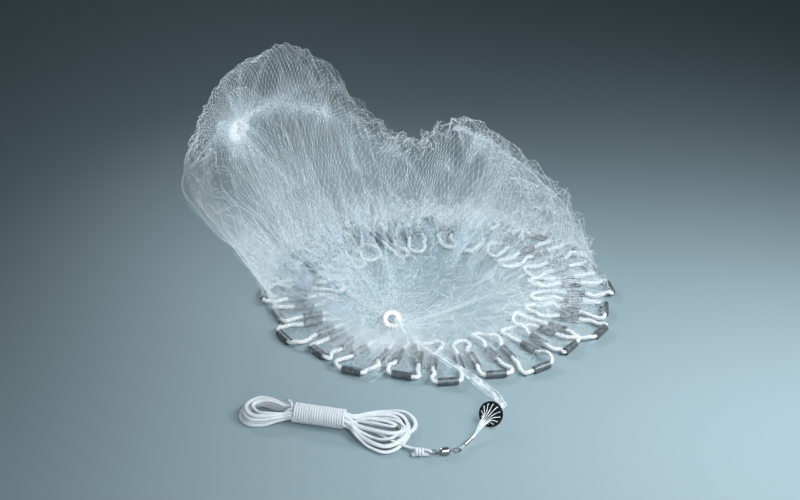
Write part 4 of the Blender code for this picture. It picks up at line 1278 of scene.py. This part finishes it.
SWIVEL_MIDDLE = Vector((0.0503, -0.2735, 0.0048))
SWIVEL_ALONG = Vector((0.990, 0.141, 0.0)).normalized()
EYE_WIRE = SWIVEL_MIDDLE + SWIVEL_ALONG * 0.0176 + UP.cross(SWIVEL_ALONG) * 0.0021
towards_crimp = ((CRIMP_END - EYE_WIRE) * Vector((1, 1, 0))).normalized()
disc_turn = DISC_FACING.to_track_quat("Z", "Y")
horn_middle, horn_axis = Vector(HORN_MIDDLE), Vector(HORN_AXIS)
for number in range(DISC_HOLES):
    turn = 2 * math.pi * number / DISC_HOLES
    hole = DISC_MIDDLE + disc_turn @ Vector((math.cos(turn), math.sin(turn), 0.0)) * DISC_HOLE_CIRCLE
    beside = (UP.cross(CRIMP_ALONG).normalized() * (CRIMP_PACKED * math.cos(turn * 5))
              + UP * (CRIMP_PACKED * math.sin(turn * 5)))
    face = (DISC_MIDDLE.lerp(hole, FACE_GATHER) + DISC_FACING * FACE_OFF
            + (CRIMP_START - DISC_MIDDLE) * 0.12)
    bight = []
    if number < BIGHT_LINES:
        lift = CRIMP_PACKED if number else -CRIMP_PACKED
        bight = [CRIMP_START - UP * 0.0016, CRIMP_END - UP * 0.0019 + CRIMP_ALONG * 0.0010,
                 EYE_WIRE - towards_crimp * 0.0004 - UP * 0.0017,
                 EYE_WIRE - towards_crimp * 0.0018 + UP * lift, EYE_WIRE + UP * 0.0017]
    stations = bight + [CRIMP_END + beside, CRIMP_START + beside,
                        CRIMP_START - CRIMP_ALONG * 0.006 + beside * 1.6,
                        face.lerp(CRIMP_START, 0.45), face,
                        hole + DISC_FACING * HOLE_FRONT, hole - DISC_FACING * HOLE_BACK]
    for index in range(len(BUNDLE_ROUTE) - 1, -1, -1):
        ahead = BUNDLE_ROUTE[max(index - 1, 0)] - BUNDLE_ROUTE[min(index + 1, len(BUNDLE_ROUTE) - 1)]
        sideways = UP.cross(ahead).normalized()
        swing = turn + 0.5 * math.sin(2.0 * index + number)
        reach = BUNDLE_SPREAD[index] * 0.001 * (0.55 + 0.45 * math.sin(3.7 * number + 1.3 * index))
        flat = BUNDLE_FLAT if index > 1 else 1.0
        stations.append(BUNDLE_ROUTE[index] + sideways * (reach * math.cos(swing))
                        + UP * (flat * reach * math.sin(swing)))
    in_bore = horn_middle + Vector((0.0030 * math.cos(turn), 0.0018 * math.sin(turn),
                                    0.0024 * math.sin(turn)))
    root = Vector(lead_points[root_points[(2 * number + 1) % len(root_points)]])
    start = horn_middle - horn_axis * 0.0150
    stations += [in_bore, start + Vector((0.004 * math.cos(turn), 0.002, 0.003 * math.sin(turn)))]
    run = (root - start) * Vector((1, 1, 0))
    sideways = UP.cross(run).normalized() * (1 if number % 2 else -1)
    bends = max(BENDS_LEAST, round(run.length / BEND_APART))
    least_swing, most_swing = 0.0, SWING_MOST
    while most_swing - least_swing > SWING_NEAR:
        swing = (least_swing + most_swing) / 2
        slack = []
        for bend in range(bends):
            side = (-1) ** bend * (1 + SWING_UNEVEN * math.sin(2.7 * bend + number))
            for half, tip in BEND:
                share = 0.06 + 0.88 * (bend + 0.5 + half) / bends
                aside = swing * tip * side * math.sin(math.pi * share) ** 0.6
                place = start + run * share + sideways * aside
                height = (SLACK_LOW + SLACK_RISE * (1 - share)
                          + SLACK_UNEVEN * math.sin(5.1 * number + 2.0 * bend))
                slack.append(Vector((place.x, place.y, height)))
        line_stations = stations + slack + [Vector((root.x, root.y, ROPE_LOW + ROOT_ABOVE))]
        points = smooth_line([tuple(place) for place in line_stations], BRAILLE_STEP)
        points = even_line(points, BRAILLE_STEP)[0]
        in_horn = np.linalg.norm(points - HORN_MIDDLE, axis=1).argmin()
        for _ in range(BEND_ROUNDING):
            before, here, after = points[in_horn + 2:-2], points[in_horn + 3:-1], points[in_horn + 4:]
            points[in_horn + 3:-1] = (before + 2 * here + after) / 4
        points, along = even_line(points, BRAILLE_STEP)
        if along[-1] < BRAILLE_LENGTH:
            least_swing = swing
        else:
            most_swing = swing
    line = add_rope(f"braille_line_{number + 1:02d}", points, (0.13, 0.21, 0.97), BRAILLE_LINE,
                    BRAILLE_LINE, line_finish, sides=BRAILLE_SIDES)
    in_horn = np.linalg.norm(points - HORN_MIDDLE, axis=1).argmin()
    glint = np.where(points[:, 1] > PAST_HEM, GLINT_OVER, GLINT_FREE)
    glint[in_horn + 2:] = GLINT_UNDER
    add_value(line, "glint", np.repeat(glint, BRAILLE_SIDES))
    line.visible_shadow = number % 3 == 0
    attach(line, "net")
    if number == 0:
        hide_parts("braille_lines", "braille_ends")
    tuple(stations[0])


# Horn ---------------------------------------------------------------------------------------------
# Moulded white plastic ring at the middle of the net. The net is bound on its neck with white twine,
# wound round it turn beside turn.

LASHING_TURNS = 6
LASHING_TWINE = 0.0009
LASHING_OFF, LASHING_UNEVEN = 0.0012, 0.0004    # from the neck
LASHING_HALF = 0.75                # of half the neck's length

horn_white, shader = mottled_finish("moulded white plastic", 190.0, 4.0,
                                    ((0.32, (0.74, 0.74, 0.72)), (0.60, (0.88, 0.88, 0.87))),
                                    roughness=(0.28, 0.52), relief=(0.25, 0.0002))
shader.inputs["Subsurface Weight"].default_value = 0.15
shader.inputs["Subsurface Radius"].default_value = (0.003, 0.003, 0.003)
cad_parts["horn"].material_slots[0].material = horn_white

lashing_white = rope_finish("lashing twine fibre", (0.86, 0.88, 0.88), (0.50, 0.55, 0.57),
                            3.0, 900.0, 0.0001, 0.7)
winding = np.linspace(0.0, 2 * np.pi * LASHING_TURNS, 24 * LASHING_TURNS)
horn_across = np.array([1.0, 0.0, 0.0])
horn_up = np.cross(HORN_AXIS, horn_across)
lashing_reach = NECK_RADIUS + LASHING_OFF + LASHING_UNEVEN * np.sin(winding * 0.37)
lashing_back = NECK_HALF * LASHING_HALF * (2 * winding / winding[-1] - 1)
lashing_points = (HORN_MIDDLE + HORN_AXIS * lashing_back[:, None]
                  + (horn_across * np.cos(winding)[:, None] + horn_up * np.sin(winding)[:, None])
                  * lashing_reach[:, None])
lashing = add_rope("lashing", lashing_points, HORN_AXIS, LASHING_TWINE, LASHING_TWINE, lashing_white,
                   sides=8)
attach(lashing, "net")
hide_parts("horn_lashing")


# Separator disc -----------------------------------------------------------------------------------
# Black plastic disc, moulded, glossy, with one drilled hole for each braille line and fine scuffs.

disc_black, shader = mottled_finish("glossy black plastic", 420.0, 5.0,
                                    ((0.45, (0.006, 0.007, 0.008)), (0.75, (0.035, 0.038, 0.042))),
                                    roughness=(0.12, 0.34))
shader.inputs["Specular IOR Level"].default_value = 0.35
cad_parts["separator_disc"].material_slots[0].material = disc_black


# Crimp and swivel ---------------------------------------------------------------------------------
# Nickel-plated brass: a sleeve squeezed on the braille lines, and a barrel swivel with two wire eyes. The
# plating has fine random marks of wear, some duller and darker than the rest.

nickel, shader = mottled_finish("worn nickel plate", 900.0, 4.0,
                                ((0.30, (0.10, 0.11, 0.12)), (0.62, (0.42, 0.43, 0.44))),
                                roughness=(0.16, 0.42), relief=(0.3, 0.0001))
shader.inputs["Metallic"].default_value = 1.0
for name in ("crimp_sleeve", "swivel_barrel", "swivel_eye_line", "swivel_eye_net"):
    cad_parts[name].material_slots[0].material = nickel
